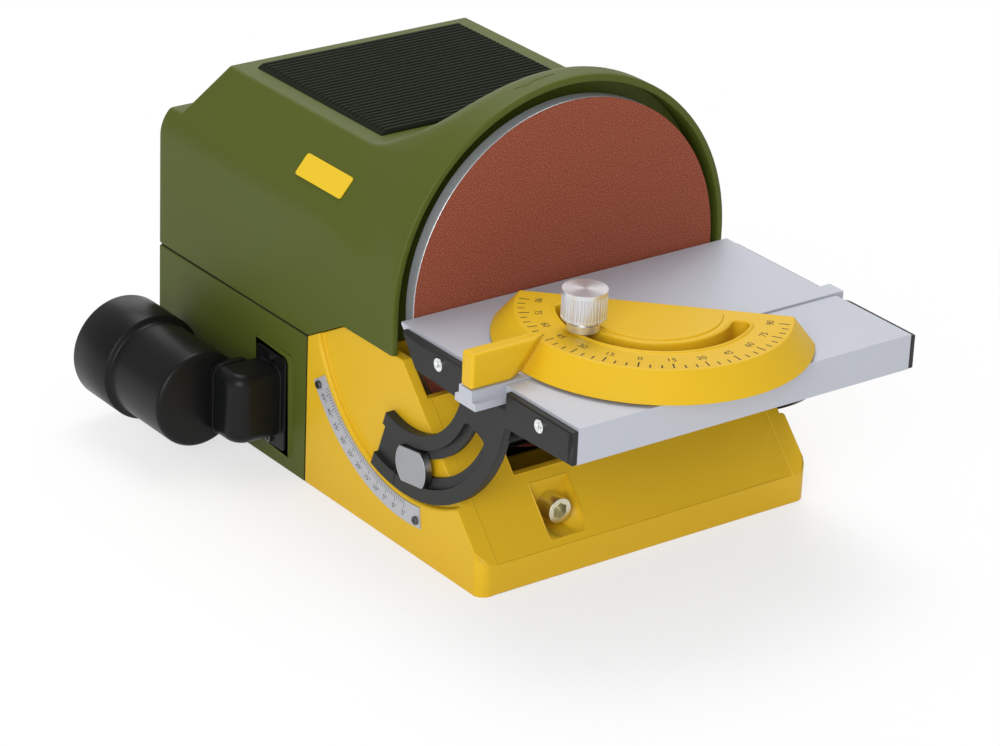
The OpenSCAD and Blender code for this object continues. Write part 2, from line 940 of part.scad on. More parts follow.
// Rod across the base that the quadrants are clamped on
module clamp_rod() {
    color("#2c2e30")
        union() {
            xbar(rod_r, -head_in, head_in, rod_y, rod_z);
            xbar(thread_r, head_in, end_out + thread_l, rod_y, rod_z);
        }
}

// Silver head on the rod's left end, flattened to slide in the quadrant's track
module clamp_head() {
    color("#b9bbbc")
        intersection() {
            xbar(head_d / 2, -head_in - head_t, -head_in, rod_y, rod_z);
            translate([0, rod_y, rod_z])
                rotate([-rod_angle, 0, 0])
                    cube([far, head_d, head_flat], center = true);
        }
}

// Black clamp knob on the rod's right end
module clamp_knob() {
    lobes = 6;
    lobe_r = 7;
    r = clamp_knob_d / 2;
    knob_in = end_out + slide_clear;
    knob_out = knob_in + thread_l;
    rim = 4;
    collar_h = 5;
    collar = 12;
    color("#232526")
        difference() {
            union() {
                xbar(r - rim, knob_in + rim, knob_out, rod_y, rod_z);
                xbar(collar, knob_in, knob_in + collar_h, rod_y, rod_z);
                for (a = [0:360 / lobes:359])
                    xbar(lobe_r, knob_in + collar_h, knob_out - over,
                         rod_y + (r - lobe_r) * cos(a), rod_z + (r - lobe_r) * sin(a));
            }
            xbar(thread_r + run_clear, knob_in - over, knob_out + over, rod_y, rod_z);
        }
}

// Socket-head screw in the pocket of the sloped front
module base_screw() {
    color("#c9c6ae")
        difference() {
            union() {
                ybar(screw_r, -pocket_back - screw_h, -pocket_back, screw_x, screw_z);
                ybar(screw_shank_r, -pocket_back, -pocket_back + front_wall + screw_tail, screw_x, screw_z);
            }
            translate([screw_x, -pocket_back - screw_h - over, screw_z])
                rotate([-90, 30, 0])
                    cylinder(d = screw_socket / cos(30), h = socket_h + over, $fn = 6);
        }
}

// Side view of the table: plate, groove and front apron
module table_outline() {
    under = table_z - table_t;
    difference() {
        polygon([
            [table_rear, table_z], [table_rear, table_z - table_edge],
            [table_rear - table_t + table_edge, under],
            [table_front + apron_t, under], [table_front + apron_t, table_z - apron_h],
            [table_front, table_z - apron_h], [table_front, table_z]]);
        translate([groove_c - neck_w / 2 - slide_clear, foot_top - eps])
            square([neck_w + 2 * slide_clear, table_t]);
        translate([groove_c - foot_w / 2 - slide_clear, foot_top - foot_h - slide_clear])
            square([foot_w + 2 * slide_clear, foot_h + 2 * slide_clear]);
    }
}

// Aluminium table
module table_top() {
    color("#b7b9c4")
        difference() {
            yz(-table_hw, table_hw) table_outline();
            end_screw_places(end_screw_r, -table_hw - over, -table_hw + end_screw_l);
            end_screw_places(end_screw_r, table_hw - end_screw_l, table_hw + over);
        }
}

// Places of the end plates' screws
module end_screw_places(r, x0, x1) {
    for (y = end_screw_ys)
        xbar(r, x0, x1, y, end_screw_z);
}

// Side view of an end plate with its quadrant
module end_outline() {
    z1 = table_z - end_drop;
    z0 = table_z - apron_h;
    difference() {
        union() {
            polygon([
                [table_rear - end_back_top, z1], [table_rear - end_back_low, z0],
                [table_front, z0], [table_front, z1]]);
            tilt_sector(quad_ri, quad_ro, tip_angle, neck_front_angle);
        }
        groove_room();
        tilt_sector(slot_r - slot_hw, slot_r + slot_hw, slot_rear_angle, slot_front_angle);
    }
}

// The notch that lets the slider bar through an end plate
module groove_room() {
    low = foot_top - foot_h - 2 * slide_clear;
    side = 2;
    translate([groove_c - foot_w / 2 - side, low])
        square([foot_w + 2 * side, far]);
}

// End plate for one side: the quadrant also reaches in to the cheek's recess
module end_plate(side) {
    lo = side > 0 ? table_hw : -end_out;
    hi = side > 0 ? end_out : -table_hw;
    track_lo = side > 0 ? track_floor : -end_out - over;
    track_hi = side > 0 ? end_out + over : -track_floor;
    inner_lo = side > 0 ? quad_in : -table_hw - eps;
    inner_hi = side > 0 ? table_hw + eps : -quad_in;
    color("#33363a")
        difference() {
            union() {
                yz(lo, hi) end_outline();
                yz(inner_lo, inner_hi)
                    difference() {
                        tilt_sector(quad_ri, quad_ro, tip_angle, inner_front_angle);
                        tilt_sector(slot_r - slot_hw, slot_r + slot_hw, slot_rear_angle, slot_front_angle);
                        translate([-far, table_z - apron_h - slide_clear])
                            square(2 * far);
                    }
            }
            yz(track_lo, track_hi)
                tilt_sector(track_ri, track_ro, 2 * tip_angle, track_front_angle);
            end_screw_places(end_screw_r, lo - over, hi + over);
        }
}

module left_end_plate() {
    end_plate(-1);
}

module right_end_plate() {
    end_plate(1);
}

// Screws that hold the end plates on the table
module end_plate_screws() {
    cross = [end_head_h, 1.2, 6];
    color("#d3d6d9")
        difference() {
            union() {
                end_screw_places(end_screw_r, -end_out, -table_hw + end_screw_l);
                end_screw_places(end_screw_r, table_hw - end_screw_l, end_out);
                end_screw_places(end_head_r, -end_out - end_head_h, -end_out);
                end_screw_places(end_head_r, end_out, end_out + end_head_h);
            }
            for (s = [-1, 1], y = end_screw_ys, turn = [0, 90])
                translate([s * (end_out + end_head_h), y, end_screw_z])
                    rotate([turn, 0, 0])
                        cube(cross, center = true);
        }
}

// Aluminium slider bar in the table's groove
module slider_bar() {
    color("#c4c7cc")
        difference() {
            union() {
                translate([bar_left, groove_c - foot_w / 2, foot_top - foot_h])
                    cube([bar_l, foot_w, foot_h]);
                translate([bar_left, groove_c - neck_w / 2, foot_top - eps])
                    cube([bar_l, neck_w, bar_top - foot_top + eps]);
            }
            translate([-gauge_x, groove_c, foot_top - stud_in])
                cylinder(r = pivot_stud_r, h = table_t);
            translate([lock_x, groove_c, foot_top - stud_in])
                cylinder(r = lock_stud_r + run_clear, h = table_t);
        }
}

// Yellow pointer block on the slider bar's left end
module pointer_block() {
    top = table_z + pointer_h;
    color("#dfb022")
        xz(groove_c - pointer_w / 2, groove_c + pointer_w / 2)
            polygon([
                [bar_left, bar_top], [cone_x(bar_top) - pointer_gap, bar_top],
                [cone_x(gauge_top) - pointer_gap, gauge_top], [cone_x(gauge_top) - pointer_gap, top],
                [bar_left, top]]);
}

// Stud that the gauge turns on
module gauge_pivot_stud() {
    color("#b9bcc0")
        translate([-gauge_x, groove_c, foot_top - stud_in])
            cylinder(r = pivot_stud_r, h = bar_top - foot_top + stud_in + pivot_stud_h);
}

// Yellow protractor gauge: a bevelled half disc with a fence, an arc slot and a blind pivot bore
module mitre_gauge() {
    h = gauge_top - gauge_z;
    arc_steps = 28;
    sweep = [for (i = [0:arc_steps]) 180 - arc_half_angle + 2 * arc_half_angle * i / arc_steps];
    reach = 2 * arc_r;
    color("#dfb022")
        translate([-gauge_x, groove_c, gauge_z])
            rotate([0, 0, gauge_angle])
                difference() {
                    cylinder(r1 = gauge_r, r2 = gauge_top_r, h = h);
                    translate([fence_off, -far, -over])
                        cube(2 * far);
                    translate([0, 0, -over])
                        cylinder(r = pivot_stud_r + run_clear, h = pivot_stud_h + slide_clear + over);
                    translate([0, 0, -over])
                        linear_extrude(h + 2 * over)
                            intersection() {
                                difference() {
                                    circle(r = arc_r + arc_w / 2);
                                    circle(r = arc_r - arc_w / 2);
                                }
                                polygon([[0, 0], for (a = sweep) reach * [cos(a), sin(a)]]);
                            }
                }
}

// Knurled aluminium lock knob
module lock_knob() {
    flutes = 40;
    r = lock_knob_d / 2;
    foot_r = r - 4;
    foot = 5;
    waist_r = foot_r - 2;
    collar = 8;
    body = 20;
    flute_r = 0.7;
    rim = 1.5;
    z0 = gauge_top + slide_clear;
    color("#d9dbdd")
        translate([lock_x, groove_c, z0])
            difference() {
                union() {
                    cylinder(r = foot_r, h = foot);
                    cylinder(r = waist_r, h = collar);
                    translate([0, 0, collar])
                        cylinder(r = r, h = body);
                }
                translate([0, 0, -over])
                    cylinder(r = lock_stud_r, h = lock_stud_up + over);
                for (i = [0:flutes - 1])
                    rotate([0, 0, i * 360 / flutes])
                        translate([r, 0, collar + rim])
                            cylinder(r = flute_r, h = body - 3 * rim, $fn = 16);
            }
}

// Stud of the lock knob, through the arc slot into the slider bar
module lock_stud() {
    z0 = foot_top;
    color("#b9bcc0")
        translate([lock_x, groove_c, z0])
            cylinder(r = lock_stud_r, h = gauge_top + slide_clear + lock_stud_up - z0);
}

// Bezel of the switch on the right side
module switch_bezel() {
    rim = 4;
    gap = seat_clear;
    depth = 12;
    back = 2;
    well_w = switch_w - 2 * bezel_wall;
    well_h = switch_h - 2 * bezel_wall;
    color("#1d1f20")
        difference() {
            union() {
                translate([body_hw, switch_y - switch_w / 2 - rim, switch_z - switch_h / 2 - rim])
                    cube([bezel_t, switch_w + 2 * rim, switch_h + 2 * rim]);
                translate([body_hw - depth, switch_y - switch_w / 2 + gap, switch_z - switch_h / 2 + gap])
                    cube([depth + eps, switch_w - 2 * gap, switch_h - 2 * gap]);
            }
            translate([body_hw - depth + back, switch_y - well_w / 2, switch_z - well_h / 2])
                cube([depth + bezel_t, well_w, well_h]);
            rocker_axis(rocker_pin_r, switch_w / 2 - pin_in);
        }
}

// A pin along Y on the rocker's axis, to both sides of the switch's middle
module rocker_axis(r, half) {
    ybar(r, switch_y - half, switch_y + half, body_hw - rocker_in, switch_z);
}

// Rocker of the switch
module rocker() {
    w = switch_w - 2 * bezel_wall - 2 * slide_clear;
    lean = 10;
    below = 4;
    above = 6.5;
    half = 12;
    face_r = 12.5;
    color("#9d2a22")
        difference() {
            translate([body_hw - rocker_in, switch_y, switch_z])
                rotate([0, -lean, 0])
                    intersection() {
                        translate([-below, -w / 2, -half])
                            cube([below + above, w, 2 * half]);
                        rotate([90, 0, 0])
                            cylinder(r = face_r, h = w, center = true);
                    }
            rocker_axis(rocker_pin_r + run_clear, switch_w);
        }
}

// Pin that the rocker turns on
module rocker_pin() {
    color("#b9bcc0")
        rocker_axis(rocker_pin_r, switch_w / 2 - pin_in);
}

// Cord entry in the rear wall
module cord_gland() {
    lip = 3;
    lip_t = 4;
    tail = 12;
    cord_r = 4;
    color("#1d1f20")
        difference() {
            union() {
                ybar(gland_r, rear_y - wall - lip_t, rear_y, gland_x, gland_z);
                ybar(gland_r + lip, rear_y, rear_y + lip_t, gland_x, gland_z);
                ybar(gland_r - lip + over, rear_y, rear_y + tail, gland_x, gland_z);
            }
            ybar(cord_r, rear_y - far / 4, rear_y + far / 4, gland_x, gland_z);
        }
}

upper_housing();
lower_housing();
front_base();
bottom_plate();
bottom_screws();
top_mat();
name_plate();
stator_can();
motor_front_bell();
motor_rear_bell();
motor_screws();
front_bearing();
rear_bearing();
motor_shaft();
rotor_core();
cooling_fan();
disc_hub();
disc_plate();
hub_screws();
sanding_disc();
dust_elbow();
dust_outlet();
elbow_screws();
scale_strip();
scale_screws();
clamp_rod();
clamp_head();
clamp_knob();
base_screw();
table_top();
left_end_plate();
right_end_plate();
end_plate_screws();
slider_bar();
pointer_block();
gauge_pivot_stud();
mitre_gauge();
lock_knob();
lock_stud();
switch_bezel();
rocker();
rocker_pin();
cord_gland();
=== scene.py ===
import json
import math

import bmesh
import bpy
from mathutils import Matrix, Vector


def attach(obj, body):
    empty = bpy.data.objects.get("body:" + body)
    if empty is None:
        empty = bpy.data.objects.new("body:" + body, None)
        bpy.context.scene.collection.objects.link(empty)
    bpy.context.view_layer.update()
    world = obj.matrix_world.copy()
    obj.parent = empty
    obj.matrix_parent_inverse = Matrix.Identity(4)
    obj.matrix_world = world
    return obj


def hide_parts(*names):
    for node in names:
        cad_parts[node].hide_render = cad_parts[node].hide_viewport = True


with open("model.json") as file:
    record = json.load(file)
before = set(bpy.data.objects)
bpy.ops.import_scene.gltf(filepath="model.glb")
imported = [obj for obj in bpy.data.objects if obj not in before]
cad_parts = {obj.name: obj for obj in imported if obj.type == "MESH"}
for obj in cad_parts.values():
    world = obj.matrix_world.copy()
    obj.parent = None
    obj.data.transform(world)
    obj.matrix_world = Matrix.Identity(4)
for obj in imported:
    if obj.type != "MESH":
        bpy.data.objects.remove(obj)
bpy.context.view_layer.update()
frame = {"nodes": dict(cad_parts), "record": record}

# Looks of a benchtop disc sander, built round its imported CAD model. Lengths are in millimetres.
MM = 0.001
NODES = frame["nodes"]
RECORD = frame["record"]
SLOT_OF = {part["node"]: part["material_slot"] for part in RECORD["subparts"]}
BODY_OF = {
    node: body
    for body, members in RECORD["behaviour"]["bodies"].items()
    for node in members
}

# Sizes of the CAD source that the pieces fit
AXIS_H = 162.0
GUARD_RI = 134.5
GUARD_RO = 140.0
GUARD_FRONT = 4.0
BAND_END = 30.0
FLARE_END = 80.0
BULKHEAD_Y = 24.0
HUB_HOLE_R = 26.0
HALF_W = 140.0
TOP_Z = 247.0
TOP_HALF = 102.0
CREASE_Z = 202.0
SHELF_Z = 212.0
REAR_Y = 295.0
SKIRT_Z = 132.0
SKIRT_Y = 62.0
SEAM_Z = 110.0
JOINT_Y = 102.0
WALL = 4.0
MAT_Y0 = 91.0
MAT_Y1 = 251.0
PIVOT_Y = -18.0
PIVOT_Z = 153.0
GAUGE_X = -14.0
GAUGE_Y = -111.0
GAUGE_TURN = math.radians(45)
GAUGE_LOW = 161.9
GAUGE_TOP = 181.0
GAUGE_R = 106.0
GAUGE_TOP_R = 90.0
FENCE = 14.0
ARC_R = 58.0
KNOB_X = GAUGE_X - ARC_R
BAR_LEFT = -164.0
BAR_TOP = 161.5
POINTER_TOP = 186.0
POINTER_HALF = 6.0
SCALE_X = -141.0
BASE_FRONT = -103.0
RECESS_R = 113.0
POCKET_X0 = -80.0
POCKET_X1 = -48.0
POCKET_FLOOR = 23.0
SLOPE_RUN = 0.911
SLOPE_HALF = 126.0
END_X = 143.5
QUAD_IN = 136.4
TRACK_X = 140.0
TRACK_R = 86.3
TRACK_HALF = 13.2
TRACK_END = math.radians(67)
SLOT_R = 86.0
SLOT_HALF = 6.4
DUCT_X = -180.0
DUCT_LOW = 23.0
DUCT_HIGH = 75.0
DUCT_TURN = 143.5
ROD_Y = -29.97
ROD_Z = 67.84
OUTLET_X = -186.0
OUTLET_Y = 163.0
OUTLET_Z = 49.0
OUTLET_L = 62.0
OUTLET_R = 35.0
COLLAR_R = 39.0
COLLAR_L = 45.0
PORT_R = 36.0
TUBE_RI = 32.0
TUBE_FLOOR = 6.0
SCREW_ARC_R = RECESS_R + 13.0
SCREW_PLACES = (-55, 6)
SCREW_HEAD_X = SCALE_X - 1.8

# Sizes of the looks alone
HUMP_Y = 261.0
SHELF_Y = 277.0
BAR_RIGHT = 144.5
POCKET_Z = 26.0
PLATE_LOW = 134.7
SEAM_GAP = 0.9
JOINT_GAP = 1.2
SHARP = 0.4  # radians
LEAST_EDGE = 0.9
SHORT_EDGE = 1.5
DOUBLE = 0.001
PRINT_LIFT = 0.04
RING_PITCH = 1.4
SIDE_STEPS = 4
ARC_STEPS = 9
SLOPE_STEPS = 8
TOP_STEPS = 14


# Materials


def principled(name, colour, rough, metal=0.0, specular=0.25):
    """A material with one Principled shader; returns it, its node tree and the shader."""
    mat = bpy.data.materials.new(name)
    mat.use_nodes = True
    tree = mat.node_tree
    bsdf = tree.nodes["Principled BSDF"]
    bsdf.inputs["Base Color"].default_value = (*colour, 1.0)
    bsdf.inputs["Roughness"].default_value = rough
    bsdf.inputs["Metallic"].default_value = metal
    bsdf.inputs["Specular IOR Level"].default_value = specular
    return mat, tree, bsdf


def noise_node(tree, size, stretch=(1, 1, 1), detail=2.0):
    """Noise whose grain is about size millimetres across, in the part's own space."""
    coords = tree.nodes.new("ShaderNodeTexCoord")
    place = tree.nodes.new("ShaderNodeMapping")
    noise = tree.nodes.new("ShaderNodeTexNoise")
    place.inputs["Scale"].default_value = stretch
    noise.inputs["Scale"].default_value = 1.0 / (size * MM)
    noise.inputs["Detail"].default_value = detail
    tree.links.new(coords.outputs["Object"], place.inputs["Vector"])
    tree.links.new(place.outputs["Vector"], noise.inputs["Vector"])
    return noise


def add_bump(tree, bsdf, noise, depth):
    """Raise the surface by depth millimetres where the noise is bright."""
    bump = tree.nodes.new("ShaderNodeBump")
    bump.inputs["Strength"].default_value = 1.0
    bump.inputs["Distance"].default_value = depth * MM
    tree.links.new(noise.outputs["Fac"], bump.inputs["Height"])
    tree.links.new(bump.outputs["Normal"], bsdf.inputs["Normal"])


def add_mottle(tree, bsdf, noise, dark, light, low, high):
    """Colour the surface between two colours by the noise."""
    ramp = tree.nodes.new("ShaderNodeValToRGB")
    ramp.color_ramp.elements[0].position = low
    ramp.color_ramp.elements[1].position = high
    ramp.color_ramp.elements[0].color = (*dark, 1.0)
    ramp.color_ramp.elements[1].color = (*light, 1.0)
    tree.links.new(noise.outputs["Fac"], ramp.inputs["Fac"])
    tree.links.new(ramp.outputs["Color"], bsdf.inputs["Base Color"])
    return ramp.color_ramp


def grained(name, colour, rough, size, depth, specular=0.25):
    """Moulded plastic with a fine grain."""
    mat, tree, bsdf = principled(name, colour, rough, 0.0, specular)
    add_bump(tree, bsdf, noise_node(tree, size), depth)
    return mat


def brushed(name, colour, rough, metal, stretch, depth, size=0.5):
    """Metal with fine lines along one axis."""
    mat, tree, bsdf = principled(name, colour, rough, metal)
    add_bump(tree, bsdf, noise_node(tree, size, stretch), depth)
    return mat


def gritty(name, dark, light, speck):
    """Bonded grit with a few pale grains."""
    rough, gloss, grain, height = 0.9, 0.1, 0.9, 0.18
    dark_at, light_at, speck_at = 0.36, 0.66, 0.75
    mat, tree, bsdf = principled(name, light, rough, specular=gloss)
    grit = noise_node(tree, grain, detail=5.0)
    ramp = add_mottle(tree, bsdf, grit, dark, light, dark_at, light_at)
    ramp.elements.new(speck_at).color = (*speck, 1.0)
    add_bump(tree, bsdf, grit, height)
    return mat


def turned(name, colour, rough, axis, centre, metal=1.0):
    """Metal faced on a lathe: its gloss streaks out from a centre, about one axis."""
    streak, ring_depth, unit_turn = 0.7, 0.03, 20
    mat, tree, bsdf = principled(name, colour, rough, metal)
    tangent = tree.nodes.new("ShaderNodeTangent")
    tangent.direction_type = "RADIAL"
    tangent.axis = axis
    bsdf.inputs["Anisotropic"].default_value = streak
    tree.links.new(tangent.outputs["Tangent"], bsdf.inputs["Tangent"])
    coords = tree.nodes.new("ShaderNodeTexCoord")
    place = tree.nodes.new("ShaderNodeMapping")
    rings = tree.nodes.new("ShaderNodeTexWave")
    place.inputs["Location"].default_value = [-c * MM for c in centre]
    rings.wave_type = "RINGS"
    rings.rings_direction = axis
    rings.inputs["Scale"].default_value = 2 * math.pi / (unit_turn * RING_PITCH * MM)
    tree.links.new(coords.outputs["Object"], place.inputs["Vector"])
    tree.links.new(place.outputs["Vector"], rings.inputs["Vector"])
    add_bump(tree, bsdf, rings, ring_depth)
    return mat


def plain(name, colour, rough, metal=0.0):
    return principled(name, colour, rough, metal)[0]


LOOKS = {
    "green": grained("olive_plastic", (0.081, 0.102, 0.012), 0.5, 0.9, 0.05, 0.2),
    "yellow": grained("golden_plastic", (0.73, 0.45, 0.014), 0.42, 0.8, 0.025),
    "zinc": plain("zinc_sheet", (0.5, 0.5, 0.51), 0.4, 1.0),
    "screw_dark": plain("black_screw", (0.13, 0.13, 0.135), 0.32, 1.0),
    "screw_bright": plain("bright_screw", (0.8, 0.81, 0.82), 0.25, 1.0),
    "screw_zinc": plain("passivated_screw", (0.72, 0.69, 0.52), 0.26, 1.0),
    "black_rubber": grained("rubber", (0.011, 0.015, 0.008), 0.75, 1.0, 0.02, 0.12),
    "yellow_plate": plain("plate_print", (0.78, 0.52, 0.02), 0.35),
    "motor_steel": plain("motor_paint", (0.16, 0.165, 0.175), 0.45, 0.6),
    "cast_alloy": grained("cast_alloy", (0.45, 0.46, 0.48), 0.5, 1.2, 0.03),
    "bearing_steel": plain("ground_steel", (0.62, 0.63, 0.65), 0.25, 1.0),
    "rotor": plain("varnished_core", (0.25, 0.17, 0.1), 0.5, 0.5),
    "black_plastic": grained("black_plastic", (0.006, 0.0065, 0.0065), 0.36, 0.9, 0.015, 0.2),
    "disc_alloy": plain("turned_alloy", (0.68, 0.72, 0.76), 0.36, 0.65),
    "abrasive": gritty(
        "abrasive_grit", (0.19, 0.046, 0.026), (0.4, 0.118, 0.07), (0.62, 0.36, 0.27)
    ),
    "scale_metal": plain("scale_metal", (0.5, 0.51, 0.54), 0.45, 0.4),
    "dark_steel": plain("dark_steel", (0.06, 0.06, 0.062), 0.35, 1.0),
    "turned_steel": turned("faced_steel", (0.4, 0.41, 0.43), 0.34, "X", (0, ROD_Y, ROD_Z)),
    "table_alloy": brushed(
        "anodised_alloy", (0.51, 0.53, 0.59), 0.48, 0.15, (0.02, 1, 1), 0.01
    ),
    "dark_grey": grained("dark_grey_plastic", (0.021, 0.0225, 0.021), 0.45, 0.7, 0.025),
    "knurled_alloy": turned(
        "knurled_alloy", (0.72, 0.73, 0.76), 0.28, "Z", (KNOB_X, GAUGE_Y, 0), 0.8
    ),
    "rocker_red": plain("rocker_red", (0.35, 0.02, 0.015), 0.25),
}
INK = plain("scale_ink", (0.02, 0.02, 0.02), 0.6)


# Pieces


def add_piece(name, mesh, body, material, replaces=()):
    """Link a mesh as a piece that rides on a body and may stand for CAD nodes."""
    piece = bpy.data.objects.new(name, mesh)
    bpy.context.scene.collection.objects.link(piece)
    mesh.materials.clear()
    mesh.materials.append(material)
    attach(piece, body)
    if replaces:
        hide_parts(*replaces)
    return piece


def smooth(mesh):
    mesh.polygons.foreach_set("use_smooth", [True] * len(mesh.polygons))


def shade(mesh, angle):
    """Smooth shading, with edges over the angle kept sharp."""
    smooth(mesh)
    mesh.set_sharp_from_angle(angle=math.radians(angle))


def round_chosen(piece, weights, width, segments):
    """Round the edges that carry a weight of that name."""
    bevel = piece.modifiers.new(weights, "BEVEL")
    bevel.width = width * MM
    bevel.segments = segments
    bevel.limit_method = "WEIGHT"
    bevel.edge_weight = weights
    bevel.use_clamp_overlap = False


def keep_flats(piece):
    """Let the large faces rule the shading of their rounded edges."""
    normals = piece.modifiers.new("normals", "WEIGHTED_NORMAL")
    normals.keep_sharp = True


def round_edges(piece, width, segments=3, angle=30):
    """Round the edges of a piece whose faces meet at more than the angle."""
    bevel = piece.modifiers.new("rounding", "BEVEL")
    bevel.width = width * MM
    bevel.segments = segments
    bevel.limit_method = "ANGLE"
    bevel.angle_limit = math.radians(angle)
    bevel.use_clamp_overlap = True
    keep_flats(piece)


def copy_of(node):
    """A node's solid as a bmesh with plain flat faces."""
    bm = bmesh.new()
    bm.from_mesh(NODES[node].data)
    flatten(bm)
    return bm


def flatten(bm):
    """Join doubled points and the triangles of flat faces."""
    bmesh.ops.remove_doubles(bm, verts=bm.verts, dist=DOUBLE * MM)
    join_flats(bm)


def join_flats(bm):
    """Join faces that lie in one plane."""
    flat = math.radians(0.5)
    bmesh.ops.dissolve_limit(bm, angle_limit=flat, verts=bm.verts, edges=bm.edges)


def weld(bm):
    """Join doubled points and turn the faces outwards."""
    bmesh.ops.remove_doubles(bm, verts=bm.verts, dist=DOUBLE * MM)
    bmesh.ops.recalc_face_normals(bm, faces=bm.faces)


def weld_mesh(mesh):
    bm = bmesh.new()
    bm.from_mesh(mesh)
    weld(bm)
    bm.to_mesh(mesh)
    bm.free()


def place_copy(node, bm):
    """Put a changed copy of a node in the node's place."""
    mesh = bpy.data.meshes.new("soft_" + node)
    bm.to_mesh(mesh)
    bm.free()
    smooth(mesh)
    slot = SLOT_OF[node]
    return add_piece("soft_" + node, mesh, BODY_OF[node], LOOKS[slot], (node,))


def soften(node, width, prepare=None):
    """A copy of a CAD node with every sharp edge rounded."""
    bm = copy_of(node)
    if prepare:
        prepare(bm)
    round_edges(place_copy(node, bm), width)


def draw_in(bm):
    """Set the mat in from the edges of the top, a little lower and with sloped rib ends."""
    front, rear = MAT_Y0 + 5.0, MAT_Y1 - 3.5
    rib_slope, sink = 0.9, 0.22
    for v in bm.verts:
        share = (v.co.y / MM - MAT_Y0) / (MAT_Y1 - MAT_Y0)
        rise = v.co.z - TOP_Z * MM
        v.co.y = (front + share * (rear - front)) * MM
        v.co.x -= math.copysign(rise * rib_slope, v.co.x)
        v.co.z -= rise * sink


def reach_out(bm):
    """Let the sliding bar stick out of the table's right end."""
    end = max(v.co.x for v in bm.verts)
    for v in bm.verts:
        if near(v.co.x / MM, end / MM):
            v.co.x = BAR_RIGHT * MM


def is_sharp(edge):
    return len(edge.link_faces) == 2 and edge.calc_face_angle(0.0) > SHARP


def is_sliver(edge):
    """Whether the edge is too short to round, or ends at such an edge."""
    near_edges = {e for v in edge.verts for e in v.link_edges if is_sharp(e)}
    return any(e.calc_length() < LEAST_EDGE * MM for e in near_edges)


def mould(node, width, rules=(), prepare=None):
    """A copy of a moulding; each rule's edges get a rounding of their own, other clean edges the width."""
    bm = copy_of(node)
    if prepare:
        prepare(bm)
    layers = [bm.edges.layers.float.new(f"round_{i}") for i in range(len(rules) + 1)]
    for edge in bm.edges:
        if not is_sharp(edge):
            continue
        ends = [v.co / MM for v in edge.verts]
        for layer, (rule, _, _) in zip(layers, rules):
            if rule(*ends):
                edge[layer] = 1.0
                break
        else:
            if is_sliver(edge):
                edge.smooth = False
            else:
                edge[layers[-1]] = 1.0
    piece = place_copy(node, bm)
    for i, (_, large, segments) in enumerate(rules):
        round_chosen(piece, f"round_{i}", large, segments)
    round_chosen(piece, f"round_{len(rules)}", width, 3)
    keep_flats(piece)


def near(value, target, slack=0.3):
    return abs(value - target) < slack


def pivot_distance(p):
    """Distance of a point from the table's tilt axis."""
    return math.hypot(p.y - PIVOT_Y, p.z - PIVOT_Z)


def rear_corner(a, b):
    """The lower housing's upright rear corners."""
    return all(near(abs(p.x), HALF_W) and near(p.y, REAR_Y) for p in (a, b))


def frame_corner(a, b):
    """Corners of the raised frame round the dust passage."""
    proud, longest = 1.0, 2.0
    across = near(a.y, b.y) and near(a.z, b.z)
    return across and min(a.x, b.x) < -HALF_W - proud and (a - b).length < longest


def open_seam(bm):
    """Draw the lower housing back from its neighbours, so that the seams open as gaps; black strips set in
    them paint the gaps' shade.
    """
    for v in bm.verts:
        if near(v.co.z / MM, SEAM_Z):
            v.co.z -= SEAM_GAP * MM
        if near(v.co.y / MM, JOINT_Y):
            v.co.y += JOINT_GAP * MM


def base_corner(a, b):
    """The front base's upright front corners."""
    return all(near(abs(p.x), HALF_W) and near(p.y, BASE_FRONT) for p in (a, b))


def pocket_corner(a, b):
    """Lower corners of the screw's pocket."""
    return all(
        near(p.z, POCKET_Z) and (near(p.x, POCKET_X0) or near(p.x, POCKET_X1)) for p in (a, b)
    ) and near(a.x, b.x)


def recess_rim(a, b):
    """Rim of the round recess in each cheek."""
    slack = 1.0
    return all(near(abs(p.x), HALF_W) and near(pivot_distance(p), RECESS_R, slack) for p in (a, b))


def shape_front(bm):
    """Lift the pocket's floor a little and sink the slope between the cheeks' ends."""
    side, front_y, sink, same_way = 1.0, -100.0, 0.5, 0.999
    rise = (POCKET_Z - POCKET_FLOOR) * MM
    for v in bm.verts:
        x, y, z = v.co / MM
        if near(z, POCKET_FLOOR) and POCKET_X0 - side < x < POCKET_X1 + side:
            v.co.z += rise
            if y < front_y:
                v.co.y += rise * SLOPE_RUN
    for x in (-SLOPE_HALF, SLOPE_HALF):
        bmesh.ops.bisect_plane(
            bm,
            geom=bm.verts[:] + bm.edges[:] + bm.faces[:],
            plane_co=(x * MM, 0, 0),
            plane_no=(1, 0, 0),
        )
    bm.normal_update()
    slope = Vector((0, -1, SLOPE_RUN)).normalized()
    front = [
        f
        for f in bm.faces
        if f.normal.dot(slope) > same_way and abs(f.calc_center_median().x) < SLOPE_HALF * MM
    ]
    bmesh.ops.inset_region(
        bm,
        faces=front,
        thickness=sink * MM,
        depth=-sink * MM,
        use_even_offset=True,
        use_boundary=True,
    )


def short_edge(a, b):
    """The short edges across a thin plate, or round a screw's hole."""
    return (a - b).length < SHORT_EDGE


def sink_field(bm):
    """Sink the plate's middle, so that a rim stands round it."""
    rim, sink = 2.2, 0.2
    face = max(bm.faces, key=lambda f: (round(f.calc_area(), 9), f.normal.z))
    bmesh.ops.inset_region(bm, faces=[face], thickness=rim * MM, depth=-sink * MM)


def duct_edge(a, b):
    """The duct's long outer edges, away from its flange."""
    clear = 2.5
    level = near(a.z, b.z) and (near(a.z, DUCT_LOW) or near(a.z, DUCT_HIGH))
    outer = all(p.y < DUCT_TURN or near(p.x, DUCT_X) for p in (a, b))
    return level and outer and max(a.x, b.x) < -HALF_W - clear


def flange_corner(a, b):
    """Corners of the duct's flange."""
    thick, shortest = 3.2, 2.0
    across = near(a.y, b.y) and near(a.z, b.z)
    return across and min(a.x, b.x) > -HALF_W - thick and (a - b).length > shortest


